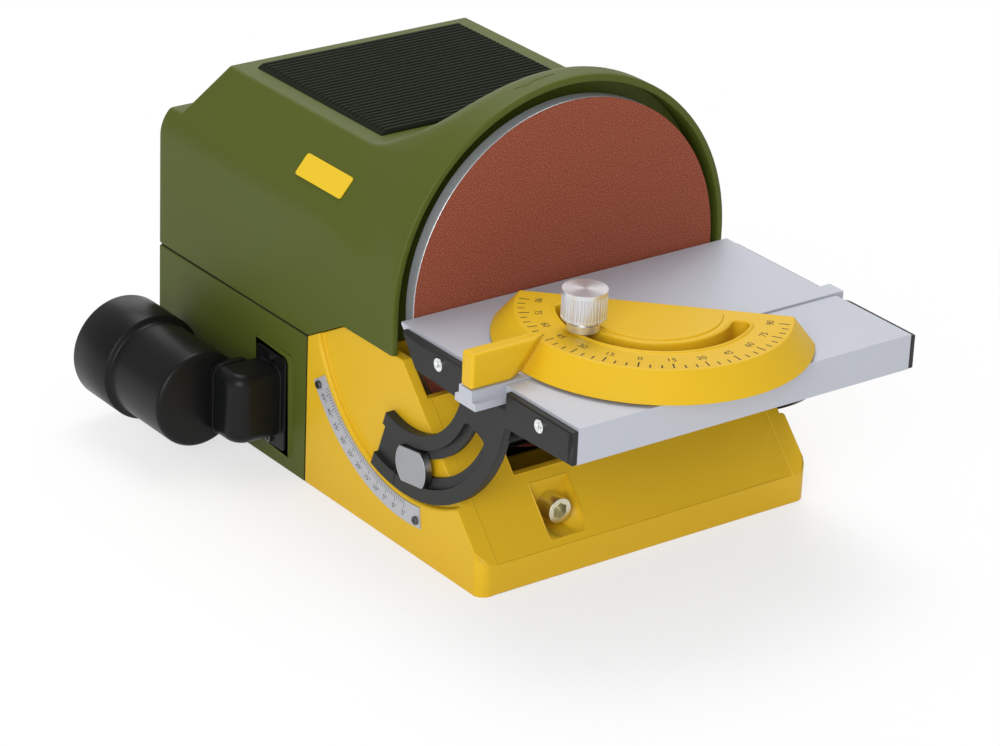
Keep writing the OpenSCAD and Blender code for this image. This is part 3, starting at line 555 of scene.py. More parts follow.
def plate_rim(a, b):
    """The outer rim of an end plate, above its quadrant."""
    return all(near(abs(p.x), END_X) and p.z > PLATE_LOW for p in (a, b))


def track_edge(a, b):
    """Edges of an end plate's slot and track."""
    slack = TRACK_HALF + 1
    return all(near(pivot_distance(p), TRACK_R, slack) and p.z < PLATE_LOW for p in (a, b))


def round_slot_end(bm):
    """Give an end plate's slot and its track round front ends."""
    track_corner, overlap = 8.0, 0.5
    side = math.copysign(1, sum(v.co.x for v in bm.verts))
    for middle, half, radius, depths in (
        (SLOT_R, SLOT_HALF, SLOT_HALF, (QUAD_IN, TRACK_X)),
        (TRACK_R, TRACK_HALF, track_corner, (TRACK_X - overlap, END_X)),
    ):
        add_solid(bm, slot_end_plug(middle, half, radius, [side * x for x in depths]))
    flatten(bm)


def slot_end_plug(middle, half, radius, depths):
    """A plug for the end of an arc slot; its inner side is a hollow with rounded corners."""
    reach, over, steps = 4.0, 0.5, 6
    outline = [(-reach, half + over), (radius, half + over)]
    for sign in (1, -1):
        arc = []
        for i in range(steps + 1):
            turn = math.pi / 2 * i / steps
            along = radius * (1 - math.sin(turn))
            arc.append((along, sign * (half - radius + radius * math.cos(turn))))
        outline += arc if sign > 0 else arc[::-1]
    outline += [(radius, -half - over), (-reach, -half - over)]
    points = []
    for x in depths:
        for along, across in outline:
            angle = TRACK_END - along / middle
            out = middle + across
            points.append((x, PIVOT_Y - out * math.sin(angle), PIVOT_Z - out * math.cos(angle)))
    count = len(outline)
    faces = [tuple(range(count)), tuple(range(2 * count - 1, count - 1, -1))]
    strip(faces, list(range(count)), list(range(count, 2 * count)), closed=True)
    return mesh_of("slot_end_plug", points, faces)


def add_solid(bm, solid):
    """Join a closed mesh to a bmesh as one solid."""
    mesh = bpy.data.meshes.new("solid")
    bm.to_mesh(mesh)
    weld_mesh(solid)
    carriers = [bpy.data.objects.new("solid", data) for data in (mesh, solid)]
    for carrier in carriers:
        bpy.context.scene.collection.objects.link(carrier)
    union = carriers[0].modifiers.new("union", "BOOLEAN")
    union.operation = "UNION"
    union.solver = "EXACT"
    union.object = carriers[1]
    bpy.context.view_layer.update()
    joined = carriers[0].evaluated_get(bpy.context.evaluated_depsgraph_get())
    bm.clear()
    bm.from_mesh(joined.data)
    for carrier in carriers:
        bpy.data.objects.remove(carrier)
    for data in (mesh, solid):
        bpy.data.meshes.remove(data)


def mesh_of(name, points, faces):
    """A mesh from points in millimetres."""
    mesh = bpy.data.meshes.new(name)
    mesh.from_pydata([tuple(c * MM for c in p) for p in points], [], faces)
    mesh.update()
    return mesh


def strip(faces, first, second, closed=False):
    """Quads between two rows of point numbers."""
    count = len(first)
    for i in range(count if closed else count - 1):
        j = (i + 1) % count
        faces.append((first[i], first[j], second[j], second[i]))


def add_row(points, rows, spots):
    """Add points to a mesh's list, and their numbers as a row."""
    rows.append(list(range(len(points), len(points) + len(spots))))
    points += spots


# Upper housing


def ramp(y):
    """Share of the hood's shape at a depth: 0 on the guard's band, 1 behind the flare."""
    soft = 12.0

    def eased(t):
        if t <= -soft:
            return 0.0
        if t >= soft:
            return t
        return (t + soft) ** 2 / (4 * soft)

    return (eased(y - BAND_END) - eased(y - FLARE_END)) / (FLARE_END - BAND_END)


def fillet(before, corner, after, radius, count):
    """Points of an arc that rounds a corner of an outline."""
    a = Vector(before) - Vector(corner)
    b = Vector(after) - Vector(corner)
    a.normalize()
    b.normalize()
    half = a.angle(b) / 2
    reach = radius / math.tan(half)
    centre = Vector(corner) + (a + b).normalized() * (radius / math.sin(half))
    start = Vector(corner) + a * reach - centre
    end = Vector(corner) + b * reach - centre
    turn = start.angle(end)
    points = []
    for i in range(count + 1):
        t = i / count
        mix = (
            math.sin((1 - t) * turn) * start + math.sin(t * turn) * end
        ) / math.sin(turn)
        points.append(tuple(centre + mix))
    return points


def spread(first, last, count):
    """Points inside the straight between two points."""
    return [
        (
            first[0] + (last[0] - first[0]) * i / (count + 1),
            first[1] + (last[1] - first[1]) * i / (count + 1),
        )
        for i in range(1, count + 1)
    ]


def hood_half(low, top, inset):
    """Left half of the hood's outline, from its lower edge to the middle of its top."""
    crease_r, edge_r, crease_draw, edge_draw = 26.0, 5.0, 0.5, 0.6
    side = HALF_W - inset
    lean = (HALF_W - TOP_HALF) / (TOP_Z - CREASE_Z)
    crease = (-side, CREASE_Z - inset * crease_draw)
    edge = (-(TOP_HALF + (TOP_Z - top) * lean) + inset * edge_draw, top - inset)
    foot = (-side, low)
    crease_arc = fillet(foot, crease, edge, crease_r, ARC_STEPS - 1)
    edge_arc = fillet(crease, edge, (0, edge[1]), edge_r, ARC_STEPS - 1)
    points = [foot] + spread(foot, crease_arc[0], SIDE_STEPS) + crease_arc
    points += spread(crease_arc[-1], edge_arc[0], SLOPE_STEPS) + edge_arc
    points += spread(edge_arc[-1], (0, edge[1]), TOP_STEPS) + [(0, edge[1])]
    return points


def band_half(low, inset):
    """Left half of the guard's outline with as many points as the hood's."""
    radius = GUARD_RO - inset
    spans = [(0, 14, ARC_STEPS), (14, 40, SLOPE_STEPS), (40, 58, ARC_STEPS), (58, 90, TOP_STEPS)]
    foot = (-radius, low)
    points = [foot] + spread(foot, (-radius, AXIS_H), SIDE_STEPS)
    for first, last, count in spans:
        for i in range(count):
            angle = math.radians(first + (last - first) * i / count)
            points.append((-radius * math.cos(angle), AXIS_H + radius * math.sin(angle)))
    return points + [(0, AXIS_H + radius)]


def lower_edge(y):
    """Height of the upper housing's lower edge at a depth."""
    if y <= SKIRT_Y:
        return SKIRT_Z
    if y >= JOINT_Y:
        return SEAM_Z
    return SKIRT_Z + (SEAM_Z - SKIRT_Z) * (y - SKIRT_Y) / (JOINT_Y - SKIRT_Y)


def hood_top(y):
    """Height of the hood's top at a depth."""
    if y <= HUMP_Y:
        return TOP_Z
    if y >= SHELF_Y:
        return SHELF_Z
    return TOP_Z + (SHELF_Z - TOP_Z) * (y - HUMP_Y) / (SHELF_Y - HUMP_Y)


def housing_section(y, inset):
    """Outline of the upper housing at a depth, from left foot over the top to right foot."""
    seam, play, chamfer = 0.4, 0.3, 0.8
    low = lower_edge(y) + seam
    share = ramp(y)
    hood = hood_half(low, hood_top(y), inset)
    band = band_half(low, inset + play)
    half = [
        (b[0] + (h[0] - b[0]) * share, b[1] + (h[1] - b[1]) * share)
        for b, h in zip(band, hood)
    ]
    foot_x, foot_z = half[0]
    left = [(foot_x + chamfer, foot_z), (foot_x, foot_z + chamfer)] + half[1:]
    right = [(-x, z) for x, z in reversed(left[:-1])]
    return left + right


def housing_stations():
    """Depths of the housing's sections, and how far its round ends draw each one in."""
    front_round, rear_round = 2.0, 5.0
    stations = []
    for angle in (90, 60, 30, 0):
        turn = math.radians(angle)
        depth = GUARD_FRONT + front_round * (1 - math.sin(turn))
        stations.append((depth, front_round * (1 - math.cos(turn))))
    middle = [10, 16, 18, 20, 22, 24, 26, 28, 30, 32, 34, 36, 38, 40, 42, 45, 50, 55, 60, 62]
    middle += [64, 67, 70, 73, 76, 79, 82, 85, 88, 90, 92, 97, 102, 120, 150, 180, 210, 240]
    middle += [252, 257, 259, 261, 263, 265, 269, 273, 275, 277, 279, 281, 285]
    stations += [(float(y), 0.0) for y in middle]
    for angle in range(0, 91, 15):
        turn = math.radians(angle)
        depth = REAR_Y - rear_round + rear_round * math.sin(turn)
        stations.append((depth, rear_round * (1 - math.cos(turn))))
    return stations


def upper_housing():
    """Guard, flare, hood and shelf as one soft shell with a dark chamber for the disc."""
    points, rows, faces = [], [], []
    for y, inset in housing_stations():
        add_row(points, rows, [(x, y, z) for x, z in housing_section(y, inset)])
    for first, second in zip(rows, rows[1:]):
        strip(faces, first, second)
    add_chamber(points, faces, rows[0])
    mesh = mesh_of("housing_shell", points, faces)
    bm = bmesh.new()
    bm.from_mesh(mesh)
    bm.verts.ensure_lookup_table()
    close_rear(bm, rows[-1])
    weld(bm)
    bm.to_mesh(mesh)
    bm.free()
    shade(mesh, 28)
    add_piece("housing_shell", mesh, "base", LOOKS["green"], ("upper_housing",))


def add_chamber(points, faces, rim):
    """The guard's inner wall and the bulkhead behind the disc, from the row of the guard's rim."""
    lip, soft = 1.2, 0.3
    spots = [points[i] for i in rim]
    rows = []
    for y, radius in (
        (GUARD_FRONT, GUARD_RI + lip),
        (GUARD_FRONT + lip * soft, GUARD_RI + lip * soft),
        (GUARD_FRONT + lip, GUARD_RI),
        (BULKHEAD_Y, GUARD_RI),
        (BULKHEAD_Y, HUB_HOLE_R),
        (BULKHEAD_Y + WALL, HUB_HOLE_R),
    ):
        ring = [chamber_point(x, z, radius) for x, _, z in spots]
        add_row(points, rows, [(x, y, z) for x, z in ring])
    strip(faces, rows[0], rim)
    for first, second in zip(rows, rows[1:]):
        strip(faces, second, first)


def chamber_point(x, z, radius):
    """The disc chamber's point straight inside a point of the guard's rim."""
    if z <= AXIS_H:
        return math.copysign(radius, x), z
    angle = math.atan2(z - AXIS_H, x)
    return radius * math.cos(angle), AXIS_H + radius * math.sin(angle)


def close_rear(bm, row):
    """Fill the rear face round four cooling slots, and give the slots their depth."""
    rim = [bm.verts[i] for i in row]
    edges = [bm.edges.get((a, b)) or bm.edges.new((a, b)) for a, b in zip(rim, rim[1:])]
    edges.append(bm.edges.new((rim[-1], rim[0])))
    half, tall, pitch, first = 45.0, 5.0, 12.0, AXIS_H - 30.0
    for i in range(4):
        z0 = first + i * pitch
        corners = [(-half, z0), (half, z0), (half, z0 + tall), (-half, z0 + tall)]
        outer = [bm.verts.new((x * MM, REAR_Y * MM, z * MM)) for x, z in corners]
        inner = [bm.verts.new((x * MM, (REAR_Y - WALL) * MM, z * MM)) for x, z in corners]
        for j in range(4):
            k = (j + 1) % 4
            edges.append(bm.edges.new((outer[j], outer[k])))
            bm.faces.new((outer[j], outer[k], inner[k], inner[j]))
    bmesh.ops.triangle_fill(bm, edges=edges, use_beauty=True)


def seam_tongue():
    """A black strip inside the seam between the two halves of the housing: painted shade, standing for the
    shadow in the gap.
    """
    corner, half, inset, thick = 5.0, 3.0, 0.9, 1.2
    points, rows, faces = [], [], []
    for depth, z in (
        (inset, SEAM_Z - half),
        (inset, SEAM_Z + half),
        (inset + thick, SEAM_Z + half),
        (inset + thick, SEAM_Z - half),
    ):
        side, rear, front = HALF_W - depth, REAR_Y - depth, JOINT_Y + depth
        outline = [(-side, front)]
        for sign, turns in ((-1, range(180, 89, -15)), (1, range(90, -1, -15))):
            for turn in turns:
                angle = math.radians(turn)
                x = sign * (side - corner) + corner * math.cos(angle)
                outline.append((x, rear - corner + corner * math.sin(angle)))
        outline.append((side, front))
        add_row(points, rows, [(x, y, z) for x, y in outline])
    for first, second in zip(rows, rows[1:] + rows[:1]):
        strip(faces, first, second)
    faces.append(tuple(row[0] for row in rows))
    faces.append(tuple(row[-1] for row in reversed(rows)))
    mesh = mesh_of("seam_tongue", points, faces)
    shade(mesh, 40)
    # Painted shade: the strip is black so that the seam reads as a shadowed gap.
    add_piece("seam_tongue", mesh, "base", LOOKS["black_rubber"])


def joint_lines():
    """Black strips in the upright joints between the lower housing and the front base: painted shade,
    standing for the shadow in the gaps.
    """
    sunk, middle = 0.6, (SEAM_Z - SEAM_GAP) / 2
    for name, side in (("joint_shade_left", -1), ("joint_shade_right", 1)):
        spot = (side * (HALF_W - sunk), JOINT_Y + JOINT_GAP / 2, middle)
        # Painted shade: black strips set into the joint gaps.
        ridge(name, spot, (0, 0, 1), (side, 0, 0), 2 * middle, JOINT_GAP, "base", "black_rubber")


# Dust outlet


def dust_outlet():
    """Lathe-turned hose outlet: a soft nose, a tube, a soft step and an open collar."""
    total = OUTLET_L + COLLAR_L
    nose, sides = 3.5, 96
    tube_end, step_start, step_l, step_count = 4.0, 1.0, 3.0, 8
    profile = [(0.0, 0.0)]
    for angle in range(0, 91, 10):
        turn = math.radians(angle)
        profile.append((nose * (1 - math.cos(turn)), OUTLET_R - nose + nose * math.sin(turn)))
    profile.append((OUTLET_L - tube_end, OUTLET_R))
    for i in range(step_count + 1):
        t = i / step_count
        radius = OUTLET_R + (COLLAR_R - OUTLET_R) * t * t * (3 - 2 * t)
        profile.append((OUTLET_L - step_start + step_l * t, radius))
    for back, draw in ((2.0, 0.0), (0.6, 0.5), (0.0, 1.5)):
        profile.append((total - back, COLLAR_R - draw))
    profile += [(total, PORT_R), (OUTLET_L, PORT_R)]
    profile += [(OUTLET_L, TUBE_RI), (TUBE_FLOOR, TUBE_RI), (TUBE_FLOOR, 0.0)]
    points, rows, faces = [], [], []
    for along, radius in profile:
        ring = []
        for i in range(sides):
            angle = 2 * math.pi * i / sides
            x, z = radius * math.cos(angle), radius * math.sin(angle)
            ring.append((OUTLET_X + x, OUTLET_Y + along, OUTLET_Z + z))
        add_row(points, rows, ring)
    for first, second in zip(rows, rows[1:]):
        strip(faces, first, second, closed=True)
    mesh = mesh_of("outlet_tube", points, faces)
    weld_mesh(mesh)
    shade(mesh, 40)
    slot = "black_plastic"
    add_piece("outlet_tube", mesh, "base", LOOKS[slot], ("dust_outlet",))


def duct_bead():
    """A thin bead round the duct where it enters the outlet."""
    y0, y1, proud, sunk, soft = 156.0, 158.2, 0.9, 0.3, 0.5
    left, right, corner, tight = DUCT_X, -154.0, 8.0, 1.0
    shoulder = proud * 0.6
    section = [(y0, -sunk), (y0, shoulder), (y0 + soft, proud)]
    section += [(y1 - soft, proud), (y1, shoulder), (y1, -sunk)]
    corners = [
        (left + corner, DUCT_LOW + corner, 180, corner),
        (right - tight, DUCT_LOW + tight, 270, tight),
        (right - tight, DUCT_HIGH - tight, 0, tight),
        (left + corner, DUCT_HIGH - corner, 90, corner),
    ]
    points, rows, faces = [], [], []
    for y, lift in section:
        ring = []
        for x, z, start, radius in corners:
            reach = radius + lift
            for step in range(0, 91, 15):
                angle = math.radians(start + step)
                ring.append((x + reach * math.cos(angle), y, z + reach * math.sin(angle)))
        add_row(points, rows, ring)
    for first, second in zip(rows, rows[1:] + rows[:1]):
        strip(faces, first, second, closed=True)
    mesh = mesh_of("duct_bead", points, faces)
    shade(mesh, 40)
    add_piece("duct_bead", mesh, "base", LOOKS["black_plastic"])


def rotation_arrow():
    """A raised arrow on the guard's crown that shows which way the disc turns."""
    low, high, across = GUARD_RO - 0.6, GUARD_RO - 0.05, 17.0
    span_deg, middle_deg, cuts, shaft = 13.0, 99.0, 12, 1.1
    steps = [(i / cuts, shaft) for i in range(9)]
    steps += [(8 / cuts, 3.6), (9 / cuts, 2.7), (10 / cuts, 1.8), (11 / cuts, 0.9), (1, 0.05)]
    points, rows = [], []
    for share, half in steps:
        angle = math.radians(middle_deg + (share - 0.5) * span_deg)
        c, n = math.cos(angle), math.sin(angle)
        ring = ((low, -half), (high, -half), (high, half), (low, half))
        add_row(points, rows, [(r * c, across + side, AXIS_H + r * n) for r, side in ring])
    faces = [tuple(rows[0]), tuple(reversed(rows[-1]))]
    for first, second in zip(rows, rows[1:]):
        strip(faces, first, second, closed=True)
    mesh = mesh_of("rotation_arrow", points, faces)
    shade(mesh, 30)
    add_piece("rotation_arrow", mesh, "base", LOOKS["green"])


# Mitre gauge


def gauge_place(x, y, z):
    """A point in the gauge's own axes, turned to where the gauge is set."""
    c, s = math.cos(GAUGE_TURN), math.sin(GAUGE_TURN)
    return GAUGE_X + c * x - s * y, GAUGE_Y + s * x + c * y, z


def half_disc(radius, fence, count=96):
    """Outline of the gauge: an arc closed by the fence's straight."""
    reach = math.acos(fence / radius)
    sweep = 2 * math.pi - 2 * reach
    return [polar(radius, reach + sweep * i / count) for i in range(count + 1)]


def polar(radius, angle):
    return radius * math.cos(angle), radius * math.sin(angle)


def arc_slot(half_width, count=48, caps=10):
    """Outline of a slot that follows the arc, with round ends."""
    reach = math.radians(81)
    points = []
    for sign in (1, -1):
        for i in range(count + 1):
            angle = math.pi - sign * reach + sign * 2 * reach * i / count
            points.append(polar(ARC_R + sign * half_width, angle))
        end = math.pi + sign * reach
        cap_x, cap_y = polar(ARC_R, end)
        facing = end if sign > 0 else end + math.pi
        for i in range(1, caps):
            x, y = polar(half_width, facing + math.pi * i / caps)
            points.append((cap_x + x, cap_y + y))
    return points


def gauge_body():
    """Bevelled half disc with a rimmed arc slot; returns the height of its face."""
    rim_h, chamfer = 1.2, 1.0
    face = GAUGE_TOP - rim_h
    share = (face - GAUGE_LOW) / (GAUGE_TOP - GAUGE_LOW)
    face_r = GAUGE_R + (GAUGE_TOP_R - GAUGE_R) * share
    levels = [(half_disc(GAUGE_R, FENCE), GAUGE_LOW), (half_disc(face_r, FENCE), face)]
    slot = [
        (arc_slot(8.8), face),
        (arc_slot(7.9), GAUGE_TOP),
        (arc_slot(6.6), GAUGE_TOP),
        (arc_slot(5.8), GAUGE_TOP - chamfer),
        (arc_slot(5.6), GAUGE_LOW),
    ]
    bm = bmesh.new()

    def loop(outline, z):
        return [bm.verts.new([c * MM for c in gauge_place(x, y, z)]) for x, y in outline]

    def ring(verts):
        return [
            bm.edges.get((a, b)) or bm.edges.new((a, b))
            for a, b in zip(verts, verts[1:] + verts[:1])
        ]

    def wall(first, second):
        for i in range(len(first)):
            j = (i + 1) % len(first)
            bm.faces.new((first[i], first[j], second[j], second[i]))

    outer = [loop(*level) for level in levels]
    inner = [loop(*level) for level in slot]
    wall(outer[0], outer[1])
    for first, second in zip(inner, inner[1:]):
        wall(first, second)
    bmesh.ops.triangle_fill(bm, edges=ring(outer[1]) + ring(inner[0]), use_beauty=True)
    bmesh.ops.triangle_fill(bm, edges=ring(outer[0]) + ring(inner[-1]), use_beauty=True)
    bmesh.ops.recalc_face_normals(bm, faces=bm.faces)
    join_flats(bm)
    mesh = bpy.data.meshes.new("gauge_body")
    bm.to_mesh(mesh)
    bm.free()
    smooth(mesh)
    look = LOOKS["yellow"]
    piece = add_piece("gauge_body", mesh, "gauge", look, ("mitre_gauge",))
    round_edges(piece, 1.1, 3, 35)
    return face


def gauge_island(face):
    """A low raised field inside the gauge's slot, whose top is a little smaller than its foot."""
    radius, fence, inset, sunk, below = 46.0, 7.0, 1.4, 0.6, 0.1
    outline = half_disc(radius, fence, 48)
    count = len(outline)
    cx = sum(p[0] for p in outline) / count
    cy = sum(p[1] for p in outline) / count
    size = max(math.hypot(p[0] - cx, p[1] - cy) for p in outline)
    shrink = 1 - inset / size
    top = [(cx + (x - cx) * shrink, cy + (y - cy) * shrink) for x, y in outline]
    points = [gauge_place(x, y, face - sunk) for x, y in outline]
    points += [gauge_place(x, y, GAUGE_TOP - below) for x, y in top]
    foot_row, top_row = list(range(count)), list(range(count, 2 * count))
    faces = [tuple(top_row), tuple(reversed(foot_row))]
    strip(faces, foot_row, top_row, closed=True)
    mesh = mesh_of("gauge_island", points, faces)
    smooth(mesh)
    piece = add_piece("gauge_island", mesh, "gauge", LOOKS["yellow"])
    round_edges(piece, 0.5, 2, 25)


def bar_mark(points, faces, centre, along, across, normal, length, width):
    """A flat printed bar: four points and a face, lifted off the surface."""
    base = len(points)
    c, a, b = Vector(centre), Vector(along), Vector(across)
    n = Vector(normal) * PRINT_LIFT
    for sa, sb in ((-1, -1), (1, -1), (1, 1), (-1, 1)):
        points.append(tuple(c + a * (sa * length / 2) + b * (sb * width / 2) + n))
    faces.append((base, base + 1, base + 2, base + 3))


def number_mesh(text, size):
    """A printed number as a flat mesh, centred, in millimetres, in its own X and Y."""
    curve = bpy.data.curves.new("number", "FONT")
    curve.body = text
    curve.size = size * MM
    curve.align_x = "CENTER"
    curve.align_y = "CENTER"
    carrier = bpy.data.objects.new("number", curve)
    bpy.context.scene.collection.objects.link(carrier)
    bpy.context.view_layer.update()
    flat = carrier.evaluated_get(bpy.context.evaluated_depsgraph_get())
    mesh = bpy.data.meshes.new_from_object(flat)
    bpy.data.objects.remove(carrier)
    return mesh


def print_numbers(name, marks, size, body):
    """Join printed numbers into one piece; a mark is a text, a centre, its right and its up."""
    bm = bmesh.new()
    for text, centre, right, up in marks:
        mesh = number_mesh(text, size)
        r, u = Vector(right).normalized(), Vector(up).normalized()
        n = r.cross(u)
        turn = Matrix((r, u, n)).transposed().to_4x4()
        turn.translation = (Vector(centre) + n * PRINT_LIFT) * MM
        mesh.transform(turn)
        bm.from_mesh(mesh)
        bpy.data.meshes.remove(mesh)
    joined = bpy.data.meshes.new(name)
    bm.to_mesh(joined)
    bm.free()
    return add_piece(name, joined, body, INK)


def gauge_marks(face):
    """Ticks and numbers on the gauge's top."""
    outer, long_in, short_in, number_r, tick_w, size = 88.5, 81.5, 84.0, 76, 1.0, 7.0
    points, faces, numbers = [], [], []
    origin = Vector(gauge_place(0, 0, face))
    for reading in range(-90, 91, 5):
        angle = math.pi + math.radians(reading)
        out = (math.cos(angle), math.sin(angle))
        numbered = reading % 15 == 0
        inner = long_in if numbered else short_in
        spot = gauge_place(out[0] * (inner + outer) / 2, out[1] * (inner + outer) / 2, face)
        radial = Vector(gauge_place(*out, face)) - origin
        across = Vector(gauge_place(-out[1], out[0], face)) - origin
        bar_mark(points, faces, spot, radial, across, (0, 0, 1), outer - inner, tick_w)
        if numbered:
            middle = gauge_place(out[0] * number_r, out[1] * number_r, face)
            numbers.append((str(abs(reading)), middle, across, -radial))
    mesh = mesh_of("gauge_ticks", points, faces)
    add_piece("gauge_ticks", mesh, "gauge", INK)
    print_numbers("gauge_numbers", numbers, size, "gauge")


def pointer():
    """Pointer block with a pointed nose over the gauge's edge and a raised line on top."""
    low_tip, high_tip, taper = -121.0, -101.5, 12.0
    line_x, line_l, line_w = -114.0, 22.0, 0.9
    points, rows = [], []
    for z, tip in ((BAR_TOP, low_tip), (POINTER_TOP, high_tip)):
        outline = [
            (BAR_LEFT, -POINTER_HALF),
            (tip - taper, -POINTER_HALF),
            (tip, 0.0),
            (tip - taper, POINTER_HALF),
            (BAR_LEFT, POINTER_HALF),
        ]
        add_row(points, rows, [(x, GAUGE_Y + y, z) for x, y in outline])
    faces = [tuple(reversed(rows[0])), tuple(rows[1])]
    strip(faces, rows[0], rows[1], closed=True)
    mesh = mesh_of("pointer_nose", points, faces)
    smooth(mesh)
    look = LOOKS["yellow"]
    piece = add_piece("pointer_nose", mesh, "slider", look, ("pointer_block",))
    round_edges(piece, 2.4, 5, 25)
    spot = (line_x, GAUGE_Y, POINTER_TOP)
    ridge("pointer_line", spot, (1, 0, 0), (0, 0, 1), line_l, line_w, "slider", "yellow")


def ridge(name, centre, along, normal, length, width, body, slot, height=0.35):
    """A low moulded line: a thin bar with sloped sides, half sunk."""
    a, n = Vector(along), Vector(normal)
    b = n.cross(a)
    points = []
    for lift, shrink in ((-height, 0.0), (height, width * 0.3)):
        for sa, sb in ((-1, -1), (1, -1), (1, 1), (-1, 1)):
            spot = Vector(centre) + a * (sa * (length / 2 - shrink))
            points.append(tuple(spot + b * (sb * (width / 2 - shrink)) + n * lift))
    faces = [(3, 2, 1, 0), (4, 5, 6, 7)]
    strip(faces, [0, 1, 2, 3], [4, 5, 6, 7], closed=True)
    add_piece(name, mesh_of(name, points, faces), body, LOOKS[slot])


# Tilt scale


def scale_marks():
    """Ticks and numbers of the tilt scale on the left cheek, and the index line on the quadrant."""
    zero, inner, long_l, short_l, tick_w = -5.5, 116.4, 6.0, 3.2, 0.4
    number_r, size = 126.0, 5.2
    index_r, index_l, index_w = 103.0, 12.0, 0.9
    points, faces, numbers = [], [], []
    pivot, left = Vector((SCALE_X, PIVOT_Y, PIVOT_Z)), Vector((-1, 0, 0))
    for degree in range(-5, 48):
        angle = math.radians(zero - degree)
        out = Vector((0, -math.sin(angle), -math.cos(angle)))
        across = Vector((0, -math.cos(angle), math.sin(angle)))
        numbered = degree % 5 == 0
        length = long_l if numbered else short_l
        spot = pivot + out * (inner + length / 2)
        bar_mark(points, faces, spot, out, across, left, length, tick_w)
        if numbered:
            up = -out
            numbers.append((f"{abs(degree)}\u00b0", pivot + out * number_r, up.cross(left), up))
    add_piece("scale_ticks", mesh_of("scale_ticks", points, faces), "base", INK)
    angle = math.radians(zero)
    out = Vector((0, -math.sin(angle), -math.cos(angle)))
    spot = Vector((-END_X, PIVOT_Y, PIVOT_Z)) + out * index_r
    ridge("index_line", spot, out, left, index_l, index_w, "table", "dark_grey")
    print_numbers("scale_numbers", numbers, size, "base")


def screw_crosses():
    """Painted shade of the crossed slots in the heads of the scale's two screws: flat black marks, a heart
    and four arms each.
    """
    heart, arm_l, arm_w, arm_at = 0.8, 1.6, 0.9, 1.2
    left = (-1, 0, 0)
    points, faces = [], []
    for place in SCREW_PLACES:
        angle = math.radians(place)
        y, z = SCREW_ARC_R * math.sin(angle), SCREW_ARC_R * math.cos(angle)
        spot = Vector((SCREW_HEAD_X, PIVOT_Y - y, PIVOT_Z - z))
        for turn in range(0, 360, 90):
            angle = math.radians(turn)
            along = Vector((0, math.cos(angle), math.sin(angle)))
            across = Vector((0, -math.sin(angle), math.cos(angle)))
            bar_mark(points, faces, spot + along * arm_at, along, across, left, arm_l, arm_w)
        bar_mark(points, faces, spot, (0, 1, 0), (0, 0, 1), left, heart, heart)
    mesh = mesh_of("scale_screw_slot_shade", points, faces)
    # Painted shade: flat black marks where the recessed cross slots would lie in shadow.
    add_piece("scale_screw_slot_shade", mesh, "base", INK)


# Build the pieces
upper_housing()
# Black strips in the seams and joints paint the shade of their gaps.
seam_tongue()
joint_lines()
for node, width in {
    "table_top": 0.6,
    "disc_plate": 1.2,
    "clamp_head": 0.6,
    "clamp_knob": 1.2,
    "base_screw": 0.8,
    "lock_knob": 0.4,
    "scale_screws": 0.5,
    "switch_bezel": 0.8,
    "rocker": 0.6,
    "cord_gland": 0.6,
}.items():
    soften(node, width)
soften("top_mat", 0.4, draw_in)
soften("slider_bar", 0.6, reach_out)
mould("lower_housing", 0.8, [(rear_corner, 5.0, 6), (frame_corner, 4.0, 5)], open_seam)
mould(
    "front_base",
    1.0,
    [(base_corner, 9.0, 8), (pocket_corner, 12.0, 8), (recess_rim, 2.4, 4)],
    shape_front,
)
mould("name_plate", 0.25, [(short_edge, 2.2, 5)], sink_field)
mould("dust_elbow", 0.8, [(duct_edge, 8.0, 8), (flange_corner, 2.6, 3)])
for node in ("left_end_plate", "right_end_plate"):
    rules = [(plate_rim, 2.4, 1), (short_edge, 0.1, 1), (track_edge, 0.1, 1)]
    mould(node, 0.8, rules, round_slot_end)
dust_outlet()
duct_bead()
rotation_arrow()
gauge_face = gauge_body()
gauge_island(gauge_face)
gauge_marks(gauge_face)
pointer()
scale_marks()
# Flat black marks paint the shade in the scale screws' cross slots.
screw_crosses()

# Every CAD node that still shows gets its material
for node, obj in NODES.items():
    if not obj.hide_render:
        obj.data.materials.clear()
        obj.data.materials.append(LOOKS[SLOT_OF[node]])


# Stage, light and camera


